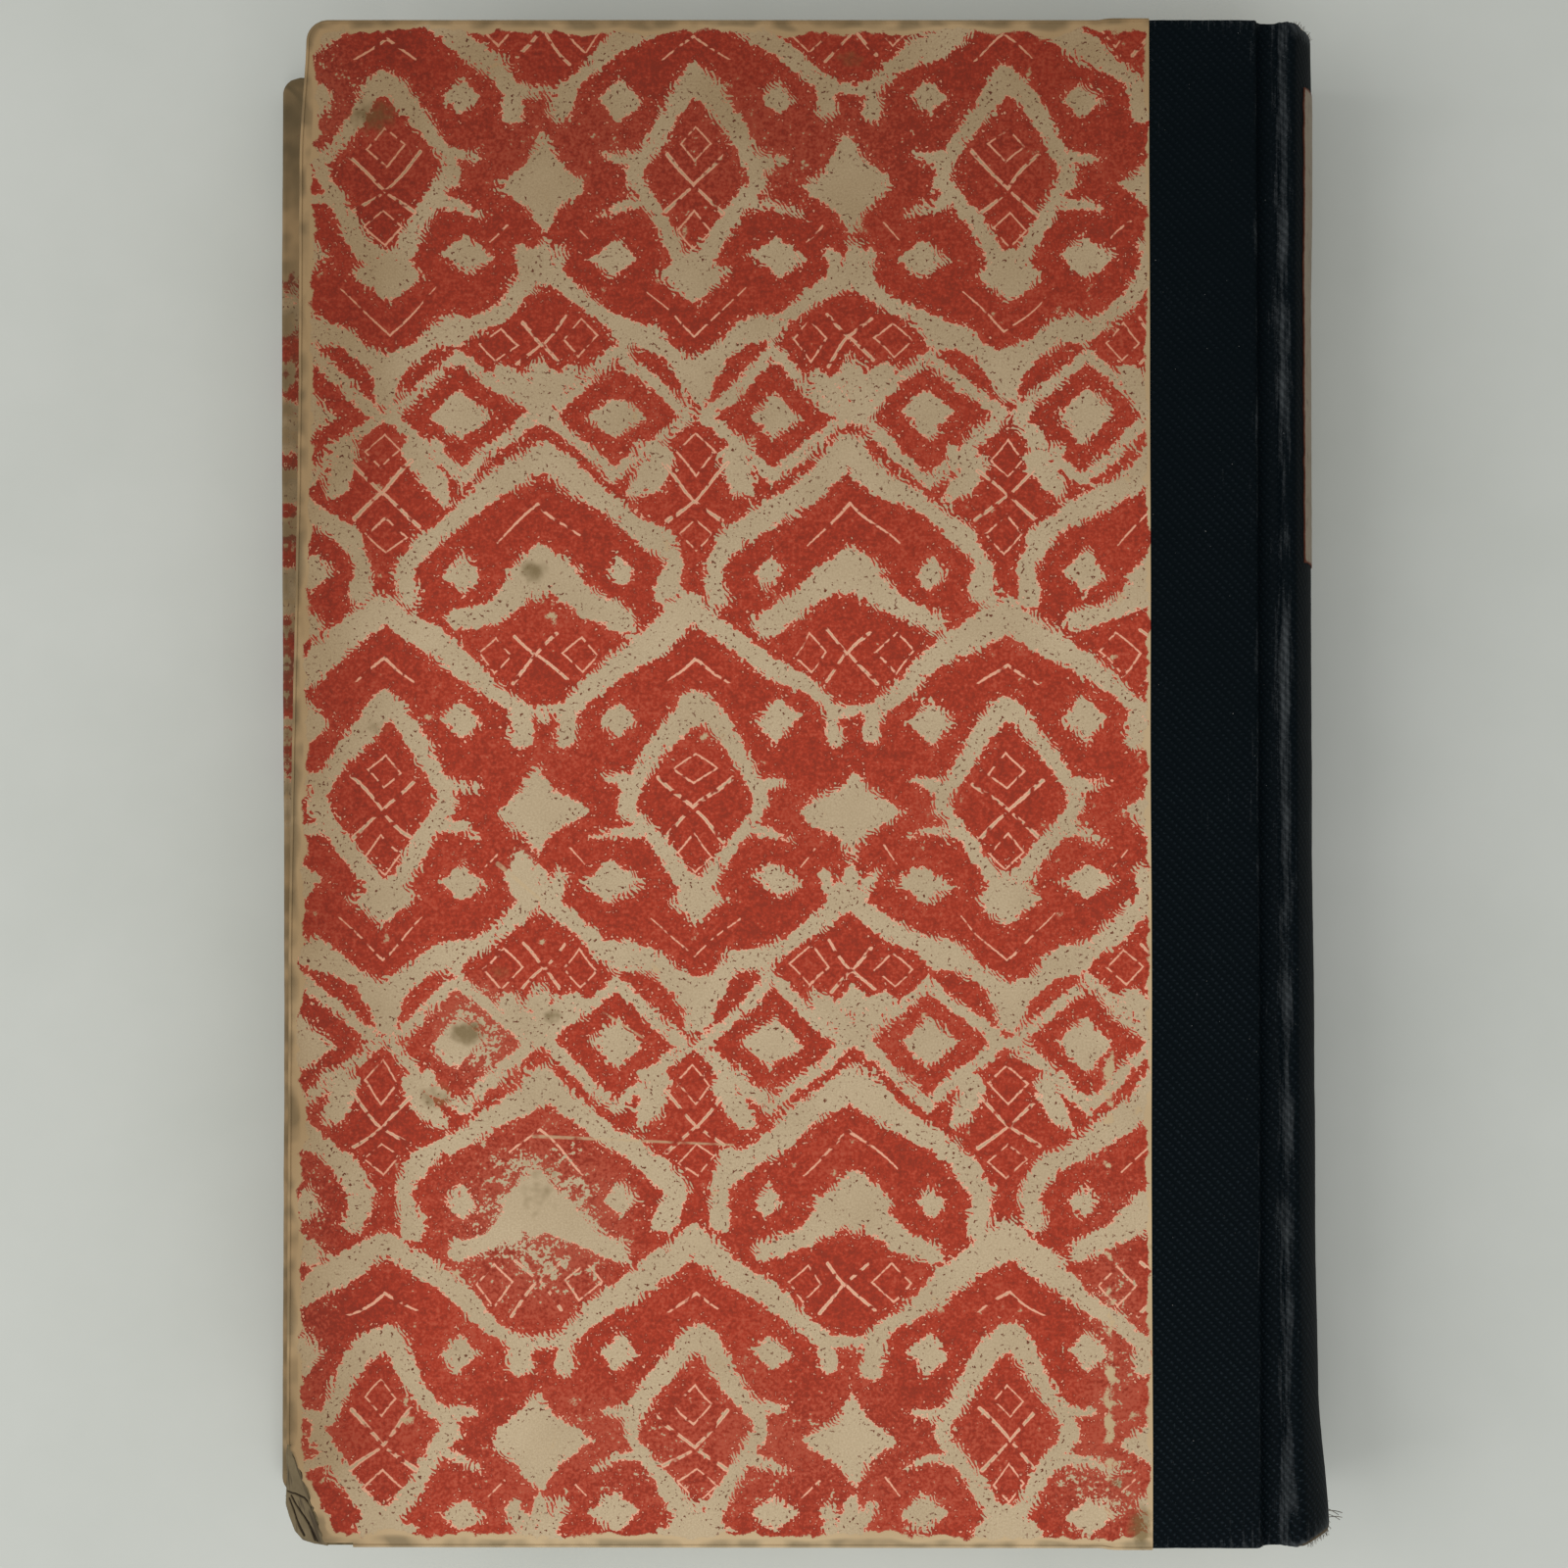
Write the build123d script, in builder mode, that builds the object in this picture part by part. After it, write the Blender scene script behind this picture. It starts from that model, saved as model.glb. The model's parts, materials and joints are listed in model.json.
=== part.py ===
from build123d import *

import os
from math import atan2, degrees, sqrt

# A quarter-cloth hardback book, rounded and backed, that lies on its front cover with its back cover on top.
# X runs from the fore-edge to the spine, Y from tail to head and Z up, and the origin is under the middle.
# The book leans as an old one does: its back cover has slid towards the spine.

# Boards and pages
board_height = 215.6
board_width = 136.5
board_thickness = 3.0
pages_thickness = 21.6
head_square = 3.0
fore_edge_square = 3.5
lean = 6.5

# Sheets
cloth_thickness = 0.35
paper_thickness = 0.2
endpaper_thickness = 0.15
label_thickness = 0.15
mull_thickness = 0.3
lining_thickness = 0.3
inlay_thickness = 0.6

# Cover paper and cloth on the boards
cloth_shown = 15.0
paper_overlap = 6.0
turn_in = 14.0
corner_radius = 2.5

# Worn tail corner of the back cover, where the paper is gone from the board
worn_corner_radius = 5.5
tear_up_fore_edge = 14.0
tear_along_tail = 6.0
tear_radius = 40.0

# Joint between each board and the spine
joint_gap = 2.15
joint_clearance = 0.3
joint_seam = 0.3
shoulder_angle = 45.0
shoulder_radius = 0.7
ridge_radius = 1.6
ridge_drop = 0.3

# Rounded spine and fore-edge
spine_bulge = 8.5
hollow_clearance = 0.1
ridge_setback = 0.5
fore_edge_hollow = 4.0

# Spine label
label_width = 31.2
label_height = 68.4
label_below_head = 6.0

# Head and tail bands
band_width = 2.2
band_height = 1.4
band_round = 0.6

# Depths below the outer face of the cloth on a board
board_outer_depth = cloth_thickness
board_inner_depth = board_outer_depth + board_thickness
turn_in_depth = board_inner_depth + cloth_thickness + paper_thickness
pastedown_depth = turn_in_depth + endpaper_thickness
flyleaf_depth = pastedown_depth + endpaper_thickness

# Sheet by sheet from the backs of the sections to the outside of the spine
lining_offset = mull_thickness
hollow_offset = lining_offset + lining_thickness
inlay_offset = hollow_offset + hollow_clearance + cloth_thickness
cloth_offset = inlay_offset + inlay_thickness
spine_offset = cloth_offset + cloth_thickness

cloth_height = board_height + 2 * cloth_thickness
pages_height = board_height - 2 * head_square
inlay_height = board_height

# The section across the book is drawn on Plane.XZ, where a sketch's own Y is the book's Z.
front_hinge_z = paper_thickness
back_hinge_z = front_hinge_z + 2 * flyleaf_depth + pages_thickness


def polar(centre, radius, angle):
    """Returns the point of the section at that distance and angle from a centre."""
    return centre + Vector(radius, 0).rotate(Axis.Z, angle)


def direction(start, end):
    """Returns the angle of the way from one point of the section to another."""
    return degrees(atan2(end.Y - start.Y, end.X - start.X))


# Each ridge stands beside its hinge line, and the groove's round bottom meets it.
groove_radius = joint_gap - cloth_thickness
seam_half_angle = degrees(joint_seam / joint_gap) / 2
ridge_below_hinge = ridge_radius + ridge_drop
ridge_reach = sqrt((groove_radius + ridge_radius) ** 2 - ridge_below_hinge**2)

# The spine's arc touches both ridges from outside, and it stands out beyond them by spine_bulge.
ridge_rise = back_hinge_z - front_hinge_z - 2 * ridge_below_hinge
ridge_half_chord = sqrt(ridge_rise**2 + lean**2) / 2
arc_rise = spine_bulge - ridge_radius
centre_setback = (ridge_half_chord**2 - arc_rise**2) / (2 * arc_rise)
spine_radius = centre_setback + spine_bulge
spine_tilt = -degrees(atan2(lean, ridge_rise))

# The hinge lines stand where the whole book is centred on X = 0.
centre_reach = ridge_reach - polar(Vector(0, 0), centre_setback, spine_tilt).X
spine_reach = centre_reach + spine_radius + label_thickness
fore_edge_reach = joint_gap + board_width + paper_thickness
hinge_middle_x = (fore_edge_reach + lean / 2 - spine_reach) / 2
back_hinge = Vector(hinge_middle_x + lean / 2, back_hinge_z)
front_hinge = Vector(hinge_middle_x - lean / 2, front_hinge_z)
back_ridge = back_hinge + Vector(ridge_reach, -ridge_below_hinge)
front_ridge = front_hinge + Vector(ridge_reach, ridge_below_hinge)
spine_centre = polar((back_ridge + front_ridge) / 2, -centre_setback, spine_tilt)
pages_radius = spine_radius - spine_offset

# Where the spine's arc passes into each ridge, and where the card and linings stop short of it.
back_end_angle = direction(spine_centre, back_ridge)
front_end_angle = direction(spine_centre, front_ridge)
setback_angle = degrees(ridge_setback / pages_radius)
inlay_start = front_end_angle + setback_angle
inlay_end = back_end_angle - setback_angle


def strip(centre, inner, outer, start, end):
    """Draws a band of the section that follows an arc about a centre, from one angle to another."""
    with BuildLine() as edge_line:
        outside = CenterArc(centre, outer, start, end - start)
        inside = CenterArc(centre, inner, start, end - start)
        Line(outside @ 0, inside @ 0)
        Line(outside @ 1, inside @ 1)
    make_face(edge_line.line)


def shoulder_points(hinge, side):
    """Returns where the flat side of the pages ends and where the shoulder meets the rounded backs."""
    flat_z = hinge.Y - side * flyleaf_depth
    slope = side * shoulder_angle
    touch = polar(hinge, joint_gap + joint_clearance + mull_thickness, slope - side * 90)
    up_slope = polar(Vector(0, 0), 1, slope)
    foot = touch + up_slope * ((flat_z - touch.Y) / up_slope.Y)
    to_touch = touch - spine_centre
    along = to_touch.dot(up_slope)
    tip = touch + up_slope * (sqrt(along**2 - to_touch.dot(to_touch) + pages_radius**2) - along)
    return foot, tip


# The pages are one block: rounded backs, a shoulder at each joint and a hollow fore-edge.
back_foot, back_tip = shoulder_points(back_hinge, 1)
front_foot, front_tip = shoulder_points(front_hinge, -1)
fore_edge_inset = Vector(joint_gap + board_width - fore_edge_square, 0)
back_fore_edge = Vector(back_hinge.X, back_foot.Y) - fore_edge_inset
front_fore_edge = Vector(front_hinge.X, front_foot.Y) - fore_edge_inset
hollow_middle = polar((back_fore_edge + front_fore_edge) / 2, fore_edge_hollow, spine_tilt)

with BuildPart() as text_block:
    with BuildSketch(Plane.XZ) as pages:
        with BuildLine():
            ThreePointArc(front_tip, polar(spine_centre, pages_radius, spine_tilt), back_tip)
            Polyline(back_tip, back_foot, back_fore_edge)
            ThreePointArc(back_fore_edge, hollow_middle, front_fore_edge)
            Polyline(front_fore_edge, front_foot, front_tip)
        make_face()
        corners_by_height = pages.vertices().sort_by(Axis.Y)
        fillet([corners_by_height[0], corners_by_height[-1]], shoulder_radius)
    extrude(amount=pages_height / 2, both=True)
text_block.part.label = "text_block"

# The mull is glued over the backs and down both shoulders.
foot_to_foot = back_foot - front_foot
joint_plane = Plane(
    origin=(front_foot.X, 0, front_foot.Y),
    x_dir=(foot_to_foot.X, 0, foot_to_foot.Y),
    z_dir=(foot_to_foot.Y, 0, -foot_to_foot.X),
)
with BuildPart() as mull:
    with BuildSketch(Plane.XZ):
        add(pages.sketch_local)
        offset(amount=mull_thickness)
        add(pages.sketch_local, mode=Mode.SUBTRACT)
    extrude(amount=pages_height / 2, both=True)
    split(bisect_by=joint_plane, keep=Keep.TOP)
mull.part.label = "mull"

with BuildPart() as spine_lining:
    with BuildSketch(Plane.XZ):
        lining_radius = pages_radius + lining_offset
        strip(spine_centre, lining_radius, lining_radius + lining_thickness, inlay_start, inlay_end)
    extrude(amount=pages_height / 2, both=True)
spine_lining.part.label = "spine_lining"

with BuildPart() as spine_inlay:
    with BuildSketch(Plane.XZ):
        inlay_radius = pages_radius + inlay_offset
        strip(spine_centre, inlay_radius, inlay_radius + inlay_thickness, inlay_start, inlay_end)
    extrude(amount=inlay_height / 2, both=True)
spine_inlay.part.label = "spine_inlay"


def case_line(depth):
    """Draws the cloth's line round the spine, from groove to groove, at a depth below its outer face."""
    grooves = []
    for hinge, ridge, side in ((front_hinge, front_ridge, -1), (back_hinge, back_ridge, 1)):
        bottom = -side * (90 - seam_half_angle)
        to_ridge = direction(hinge, ridge)
        grooves.append(CenterArc(hinge, groove_radius + depth, bottom, to_ridge - bottom))
        over_ridge = direction(spine_centre, ridge)
        turn = to_ridge + side * 180 - over_ridge
        CenterArc(ridge, ridge_radius - depth, over_ridge, turn)
    CenterArc(spine_centre, spine_radius - depth, front_end_angle, back_end_angle - front_end_angle)
    return grooves


# The spine's part of the cloth runs from groove to groove and is turned in over the card at head and tail.
with BuildPart() as spine_cloth:
    with BuildSketch(Plane.XZ):
        with BuildLine():
            outer_grooves = case_line(0)
            inner_grooves = case_line(cloth_thickness)
            for outer, inner in zip(outer_grooves, inner_grooves):
                Line(outer @ 0, inner @ 0)
        make_face()
    extrude(amount=cloth_height / 2, both=True)
    for end in (1, -1):
        with BuildSketch(Plane.XZ.offset(-end * cloth_height / 2)):
            turned_radius = inlay_radius - cloth_thickness
            strip(spine_centre, turned_radius, spine_radius - cloth_thickness / 2, inlay_start, inlay_end)
        extrude(amount=end * turn_in)
    add(spine_inlay.part, mode=Mode.SUBTRACT)
spine_cloth.part.label = "spine_cloth"

with BuildPart() as spine_label:
    with BuildSketch(Plane.XZ.offset(-(cloth_height / 2 - label_below_head))):
        label_half_angle = degrees(label_width / spine_radius) / 2
        label_middle = (front_end_angle + back_end_angle) / 2
        strip(
            spine_centre,
            spine_radius,
            spine_radius + label_thickness,
            label_middle - label_half_angle,
            label_middle + label_half_angle,
        )
    extrude(amount=label_height)
spine_label.part.label = "spine_label"

os.makedirs("parts", exist_ok=True)
for piece in (text_block, mull, spine_lining, spine_inlay, spine_cloth, spine_label):
    export_step(piece.part, f"parts/{piece.part.label}.step")

# A band of wound thread sits on the pages at each end of the backs.
for band_name, end in (("head_band", 1), ("tail_band", -1)):
    with BuildPart() as band:
        with BuildSketch(Plane.XZ.offset(-end * pages_height / 2)):
            strip(spine_centre, pages_radius - band_width, pages_radius, inlay_start, inlay_end)
        extrude(amount=-end * band_height)
        outer_face = band.faces().sort_by(Axis.Y)[-1 if end > 0 else 0]
        fillet(outer_face.edges().filter_by(GeomType.CIRCLE), band_round)
    band.part.label = band_name
    export_step(band.part, f"parts/{band_name}.step")


def slab(cover, near, far, height, top, bottom, mode=Mode.ADD):
    """Adds or cuts a flat layer of a cover, between two distances from the hinge and two depths."""
    with BuildSketch(cover.offset(-top)) as layer:
        with Locations(((near + far) / 2, 0)):
            Rectangle(far - near, height)
    extrude(layer.sketch, amount=top - bottom, mode=mode)


# Distances from a cover's hinge line towards its fore-edge
lap_end = joint_gap + cloth_shown + paper_overlap
paper_start = joint_gap + cloth_shown
board_end = joint_gap + board_width
pages_end = board_end - fore_edge_square

# Each cover is drawn on a plane that starts at its hinge line. The plane's X runs to the fore-edge and its Z
# outwards from the face of the cloth, so a layer's place is a depth below that face.
joints = (("back", back_hinge, back_foot, 1), ("front", front_hinge, front_foot, -1))
for cover_name, hinge, foot, side in joints:
    cover = Plane(origin=(hinge.X, 0, hinge.Y), x_dir=(-1, 0, 0), z_dir=(0, 0, side))
    worn = cover_name == "back"

    with BuildPart() as board:
        with BuildSketch(cover.offset(-board_outer_depth)) as outline:
            with Locations((joint_gap + board_width / 2, 0)):
                Rectangle(board_width, board_height)
            fillet(outline.vertices().group_by(Axis.Y)[0].sort_by(Axis.X)[-1], corner_radius)
            last_corner = outline.vertices().group_by(Axis.Y)[-1].sort_by(Axis.X)[-1]
            fillet(last_corner, worn_corner_radius if worn else corner_radius)
        extrude(amount=-board_thickness)

    # The cloth lies on the board, goes round its head and tail edges and dips into the joint groove.
    with BuildPart() as cloth_lap:
        slab(cover, joint_gap, lap_end, cloth_height, 0, board_inner_depth + cloth_thickness)
        slab(cover, groove_radius, joint_gap, cloth_height, 0, cloth_thickness)
        add(board.part, mode=Mode.SUBTRACT)
        slab(
            cover,
            joint_gap,
            lap_end,
            board_height - 2 * turn_in,
            board_inner_depth,
            board_inner_depth + cloth_thickness,
            mode=Mode.SUBTRACT,
        )
        with BuildSketch(Plane.XZ):
            strip(hinge, groove_radius, joint_gap, 180, 180 + side * (90 - seam_half_angle))
        extrude(amount=cloth_height / 2, both=True)

    # The paper goes round the other three edges and laps over the edge of the cloth.
    with BuildPart() as cover_paper:
        with BuildSketch(cover.offset(paper_thickness - board_outer_depth)):
            add(outline.sketch_local)
            offset(amount=paper_thickness)
        extrude(amount=-board_thickness - 2 * paper_thickness)
        paper_over_cloth = cloth_height + 2 * paper_thickness
        slab(cover, 0, lap_end + paper_thickness, paper_over_cloth, -paper_thickness, turn_in_depth)
        slab(cover, 0, paper_start, paper_over_cloth, -paper_thickness, turn_in_depth, mode=Mode.SUBTRACT)
        add(board.part, mode=Mode.SUBTRACT)
        add(cloth_lap.part, mode=Mode.SUBTRACT)
        slab(
            cover,
            paper_start,
            board_end - turn_in,
            board_height - 2 * turn_in,
            board_inner_depth,
            turn_in_depth,
            mode=Mode.SUBTRACT,
        )
        if worn:
            with BuildSketch(cover.offset(paper_thickness)):
                with BuildLine():
                    corner = Vector(board_end, board_height / 2)
                    beyond = corner + Vector(1.5, 1.5)
                    tear_start = Vector(beyond.X, board_height / 2 - tear_up_fore_edge)
                    tear_end = Vector(board_end - tear_along_tail, beyond.Y)
                    RadiusArc(tear_start, tear_end, tear_radius)
                    Polyline(tear_end, beyond, tear_start)
                make_face()
            extrude(amount=-turn_in_depth - 2 * paper_thickness, mode=Mode.SUBTRACT)

    # The endpaper's two halves: one pasted on the board, the other lying on the pages.
    with BuildPart() as pastedown:
        slab(cover, joint_gap, pages_end, pages_height, board_inner_depth, pastedown_depth)
        add(cloth_lap.part, mode=Mode.SUBTRACT)
        add(cover_paper.part, mode=Mode.SUBTRACT)

    with BuildPart() as flyleaf:
        fold = hinge.X - foot.X + endpaper_thickness
        slab(cover, fold, pages_end, pages_height, pastedown_depth, flyleaf_depth)

    cover_pieces = {
        "board": board,
        "cloth_lap": cloth_lap,
        "cover_paper": cover_paper,
        "pastedown": pastedown,
        "flyleaf": flyleaf,
    }
    for piece_name, piece in cover_pieces.items():
        piece.part.label = f"{cover_name}_{piece_name}"
        export_step(piece.part, f"parts/{cover_name}_{piece_name}.step")
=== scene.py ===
# %% [markdown]
# An old hardback book lies on its front cover. A dark twill cloth covers its spine and a strip of each
# board, and the rest of each board wears a printed paper with a woven-looking red and cream pattern. The
# boards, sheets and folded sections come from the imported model, which fixes every size and every hinge.
# Blender adds what the eye looks for: weave, print, rubbed edges, a torn corner and the leaves of the
# pages.

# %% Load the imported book
import json
import math
import random

import bpy
import numpy as np
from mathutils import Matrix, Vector, noise


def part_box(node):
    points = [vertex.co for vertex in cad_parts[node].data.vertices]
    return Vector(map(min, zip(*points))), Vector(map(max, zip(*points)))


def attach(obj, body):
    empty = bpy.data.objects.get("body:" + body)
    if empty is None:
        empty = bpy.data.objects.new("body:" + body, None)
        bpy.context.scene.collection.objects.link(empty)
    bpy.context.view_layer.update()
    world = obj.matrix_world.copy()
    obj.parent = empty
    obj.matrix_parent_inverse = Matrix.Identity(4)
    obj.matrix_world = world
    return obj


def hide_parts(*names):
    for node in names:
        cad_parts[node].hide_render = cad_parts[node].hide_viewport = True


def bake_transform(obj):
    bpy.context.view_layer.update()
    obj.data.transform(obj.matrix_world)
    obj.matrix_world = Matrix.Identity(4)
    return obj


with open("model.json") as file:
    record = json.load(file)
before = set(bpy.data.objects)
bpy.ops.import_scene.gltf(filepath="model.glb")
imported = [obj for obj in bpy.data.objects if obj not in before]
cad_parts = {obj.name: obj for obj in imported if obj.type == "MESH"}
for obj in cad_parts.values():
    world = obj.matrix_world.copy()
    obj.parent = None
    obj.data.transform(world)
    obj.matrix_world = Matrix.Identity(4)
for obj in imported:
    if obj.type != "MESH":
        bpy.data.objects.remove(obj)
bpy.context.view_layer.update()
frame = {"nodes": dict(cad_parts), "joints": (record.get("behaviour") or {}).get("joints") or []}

MM = 0.001

# %% [markdown]
# Every place in this file starts from the two hinge lines and a few sizes of the real book, in millimetres.
# A point of a cover is written as its distance from the hinge line, its place along the book and its depth
# below the outer face of the cloth, so that one function serves both covers. `side` is 1 for the back
# cover, which lies on top, and -1 for the front cover underneath.

# %% Hinge lines and driving sizes
hinge = {}
for joint in frame["joints"]:
    place = Vector(joint["pos_m"]) / MM
    hinge[joint["child"]] = Vector((place.x, 0, place.z))
covers = {"back_cover": 1, "front_cover": -1}

board_width, board_thickness, board_half = 136.5, 3.0, 107.8
cloth, paper, label_thickness = 0.35, 0.2, 0.15
joint_gap, cloth_shown, paper_overlap, turn_in = 2.15, 15.0, 6.0, 14.0
groove_radius, ridge_radius, ridge_drop = 1.8, 1.6, 0.3
lap_end = joint_gap + cloth_shown + paper_overlap
paper_start = joint_gap + cloth_shown
board_end = joint_gap + board_width
far_face = cloth + board_thickness
pages_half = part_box("text_block")[1].y / MM
print("hinge lines:", {name: tuple(round(v, 2) for v in at) for name, at in hinge.items()})


def on_cover(body, along, y, depth):
    """The point at a distance from a cover's hinge line, at y, and at a depth below its cloth's face."""
    at = hinge[body]
    return Vector((at.x - along, y, at.z - covers[body] * depth))


def between(low, high, share):
    """A number or a vector part of the way from one to another."""
    return low + (high - low) * share


def ease(low, high, value):
    """0 before low, 1 after high and a smooth rise between them."""
    share = min(1.0, max(0.0, (value - low) / (high - low)))
    return share * share * (3 - 2 * share)


def wander(*place, size=1.0, seed=0.0):
    """A smooth random number from about -1 to 1 that drifts over a distance of about size."""
    x, y, z = (list(place) + [0.0, 0.0])[:3]
    return noise.noise(Vector((x / size + seed, y / size - seed * 1.7, z / size + seed * 0.6))) * 1.6


# %% [markdown]
# The round back of a book is an arc that swings into a small ridge at each joint. The ridges stand beside
# the hinge lines, and the arc's centre follows from how far the back stands out. Working the arc out here,
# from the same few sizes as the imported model, keeps the cloth, the label and the leaves together.

# %% The arc of the spine
spine_bulge = 8.5
ridge_reach = math.sqrt((groove_radius + ridge_radius) ** 2 - (ridge_radius + ridge_drop) ** 2)
ridge = {}
for body, side in covers.items():
    ridge[body] = hinge[body] + Vector((ridge_reach, 0, -side * (ridge_radius + ridge_drop)))
ridge_middle = (ridge["back_cover"] + ridge["front_cover"]) / 2
ridge_span = ridge["back_cover"] - ridge["front_cover"]
arc_rise = spine_bulge - ridge_radius
setback = ((ridge_span.length / 2) ** 2 - arc_rise**2) / (2 * arc_rise)
spine_tilt = -math.atan2(ridge_span.x, ridge_span.z)
spine_centre = ridge_middle - setback * Vector((math.cos(spine_tilt), 0, math.sin(spine_tilt)))
spine_radius = setback + spine_bulge
pages_radius = spine_radius - 2.0


def turned(centre, radius, angle):
    """The point of the section at a distance and an angle, in radians, from a centre."""
    return centre + radius * Vector((math.cos(angle), 0, math.sin(angle)))


def angle_to(start, end):
    """The angle of the way from one point of the section to another."""
    return math.atan2(end.z - start.z, end.x - start.x)


print("spine centre", tuple(round(v, 2) for v in spine_centre), "radius", round(spine_radius, 2))

# %% [markdown]
# Cloth, paper and endpapers are thin sheets. Each is collected as points with two extra facts: where the
# point lies on the sheet before it was folded round the board, so that a weave or a print can turn the
# corner with it, and how rubbed the sheet is there. The Solidify modifier then gives the sheet its real
# thickness.

# %% A thin sheet in the making
sharp_angle = math.radians(38)


def placed(name, data):
    """A new object in the scene, with the mesh, curve, camera or lamp that it shows."""
    made = bpy.data.objects.new(name, data)
    bpy.context.collection.objects.link(made)
    return made


def plain_mesh(piece):
    """The mesh that a piece and its modifiers end in, with smooth shading."""
    graph = bpy.context.evaluated_depsgraph_get()
    mesh = bpy.data.meshes.new_from_object(piece.evaluated_get(graph), depsgraph=graph)
    mesh.polygons.foreach_set("use_smooth", [True] * len(mesh.polygons))
    return mesh


class Sheet:
    """Points in millimetres, each with its place on the flat sheet and its rub, and their faces."""

    def __init__(self):
        self.points = []
        self.flat = []
        self.rub = []
        self.faces = []

    def point(self, place, flat, rub=0.0):
        self.points.append(place)
        self.flat.append(flat)
        self.rub.append(rub)
        return len(self.points) - 1

    def strip(self, first, second):
        for a, b, c, d in zip(first, first[1:], second[1:], second):
            corners = tuple(dict.fromkeys((a, b, c, d)))
            if len(corners) > 2:
                self.faces.append(corners)

    def grid(self, rows):
        for first, second in zip(rows, rows[1:]):
            self.strip(first, second)

    def build(self, name, outside, thickness, material):
        """Makes the piece, with its first face towards outside and its thickness on the other side."""
        mesh = bpy.data.meshes.new(name)
        mesh.from_pydata([p * MM for p in self.points], [], self.faces)
        mesh.update()
        if mesh.polygons[0].normal.dot(outside) < 0:
            mesh.flip_normals()
        flat = mesh.uv_layers.new(name="flat")
        for loop in mesh.loops:
            flat.data[loop.index].uv = self.flat[loop.vertex_index]
        rub = mesh.attributes.new("rub", "FLOAT", "POINT")
        rub.data.foreach_set("value", self.rub)
        piece = placed(name, mesh)
        if thickness:
            shell = piece.modifiers.new("thickness", "SOLIDIFY")
            shell.thickness = thickness * MM
            shell.offset = -1
        piece.data = plain_mesh(piece)
        piece.modifiers.clear()
        bpy.data.meshes.remove(mesh)
        piece.data.name = name
        piece.data.set_sharp_from_angle(angle=sharp_angle)
        piece.data.update()
        piece.data.materials.append(material)
        return piece


# %% [markdown]
# A finish is easier to read as arithmetic than as a web of nodes. `Number` wraps one socket, so that an
# expression such as `1 - rub * 0.5` adds its own Math nodes. `Bench` has the one method that makes any
# other node: it takes the node's type, its settings and what goes into its sockets.

# %% Shader arithmetic


class Number:
    """A number that the shader works out at each point of a surface."""

    def __init__(self, bench, socket):
        self.bench = bench
        self.socket = socket

    def math(self, operation, *others, clamp=False):
        inputs = dict(enumerate([self, *others]))
        settings = {"operation": operation, "use_clamp": clamp}
        return self.bench.node("ShaderNodeMath", settings, inputs)

    def __add__(self, other):
        return self.math("ADD", other)

    __radd__ = __add__

    def __mul__(self, other):
        return self.math("MULTIPLY", other)

    __rmul__ = __mul__

    def __sub__(self, other):
        return self.math("SUBTRACT", other)

    def __rsub__(self, other):
        return (self * -1) + other

    def __truediv__(self, other):
        return self.math("DIVIDE", other)

    def __abs__(self):
        return self.math("ABSOLUTE")

    def least(self, other):
        return self.math("MINIMUM", other)

    def most(self, other):
        return self.math("MAXIMUM", other)

    def rise(self, low, high, start=0.0, end=1.0):
        """start up to low, end from high on, and a straight line between them."""
        inputs = {"Value": self, "From Min": low, "From Max": high, "To Min": start, "To Max": end}
        return self.bench.node("ShaderNodeMapRange", {"clamp": True}, inputs)

    def fall(self, low, high):
        """1 up to low, 0 from high on, and a straight line between them."""
        return self.rise(low, high, 1.0, 0.0)

    def clamped(self):
        return self.math("ADD", 0.0, clamp=True)


class Bench:
    """A node tree and the one method that makes its nodes."""

    def __init__(self, tree):
        self.tree = tree
        tree.nodes.clear()

    def node(self, kind, settings=None, inputs=None, output=0):
        made = self.tree.nodes.new(kind)
        for key, value in (settings or {}).items():
            setattr(made, key, value)
        for key, value in (inputs or {}).items():
            self.feed(made.inputs[key], value)
        if not made.outputs:
            return made
        return Number(self, made.outputs[output])

    def feed(self, socket, value):
        if isinstance(value, Number):
            self.tree.links.new(value.socket, socket)
        elif isinstance(value, bpy.types.NodeSocket):
            self.tree.links.new(value, socket)
        else:
            socket.default_value = value


def ink(red, green, blue):
    """A colour as read off a screen, from 0 to 255, turned into the linear light that a shader works in."""
    shares = [channel / 255 for channel in (red, green, blue)]
    linear = [c / 12.92 if c <= 0.04045 else ((c + 0.055) / 1.055) ** 2.4 for c in shares]
    return (*linear, 1.0)


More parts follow.
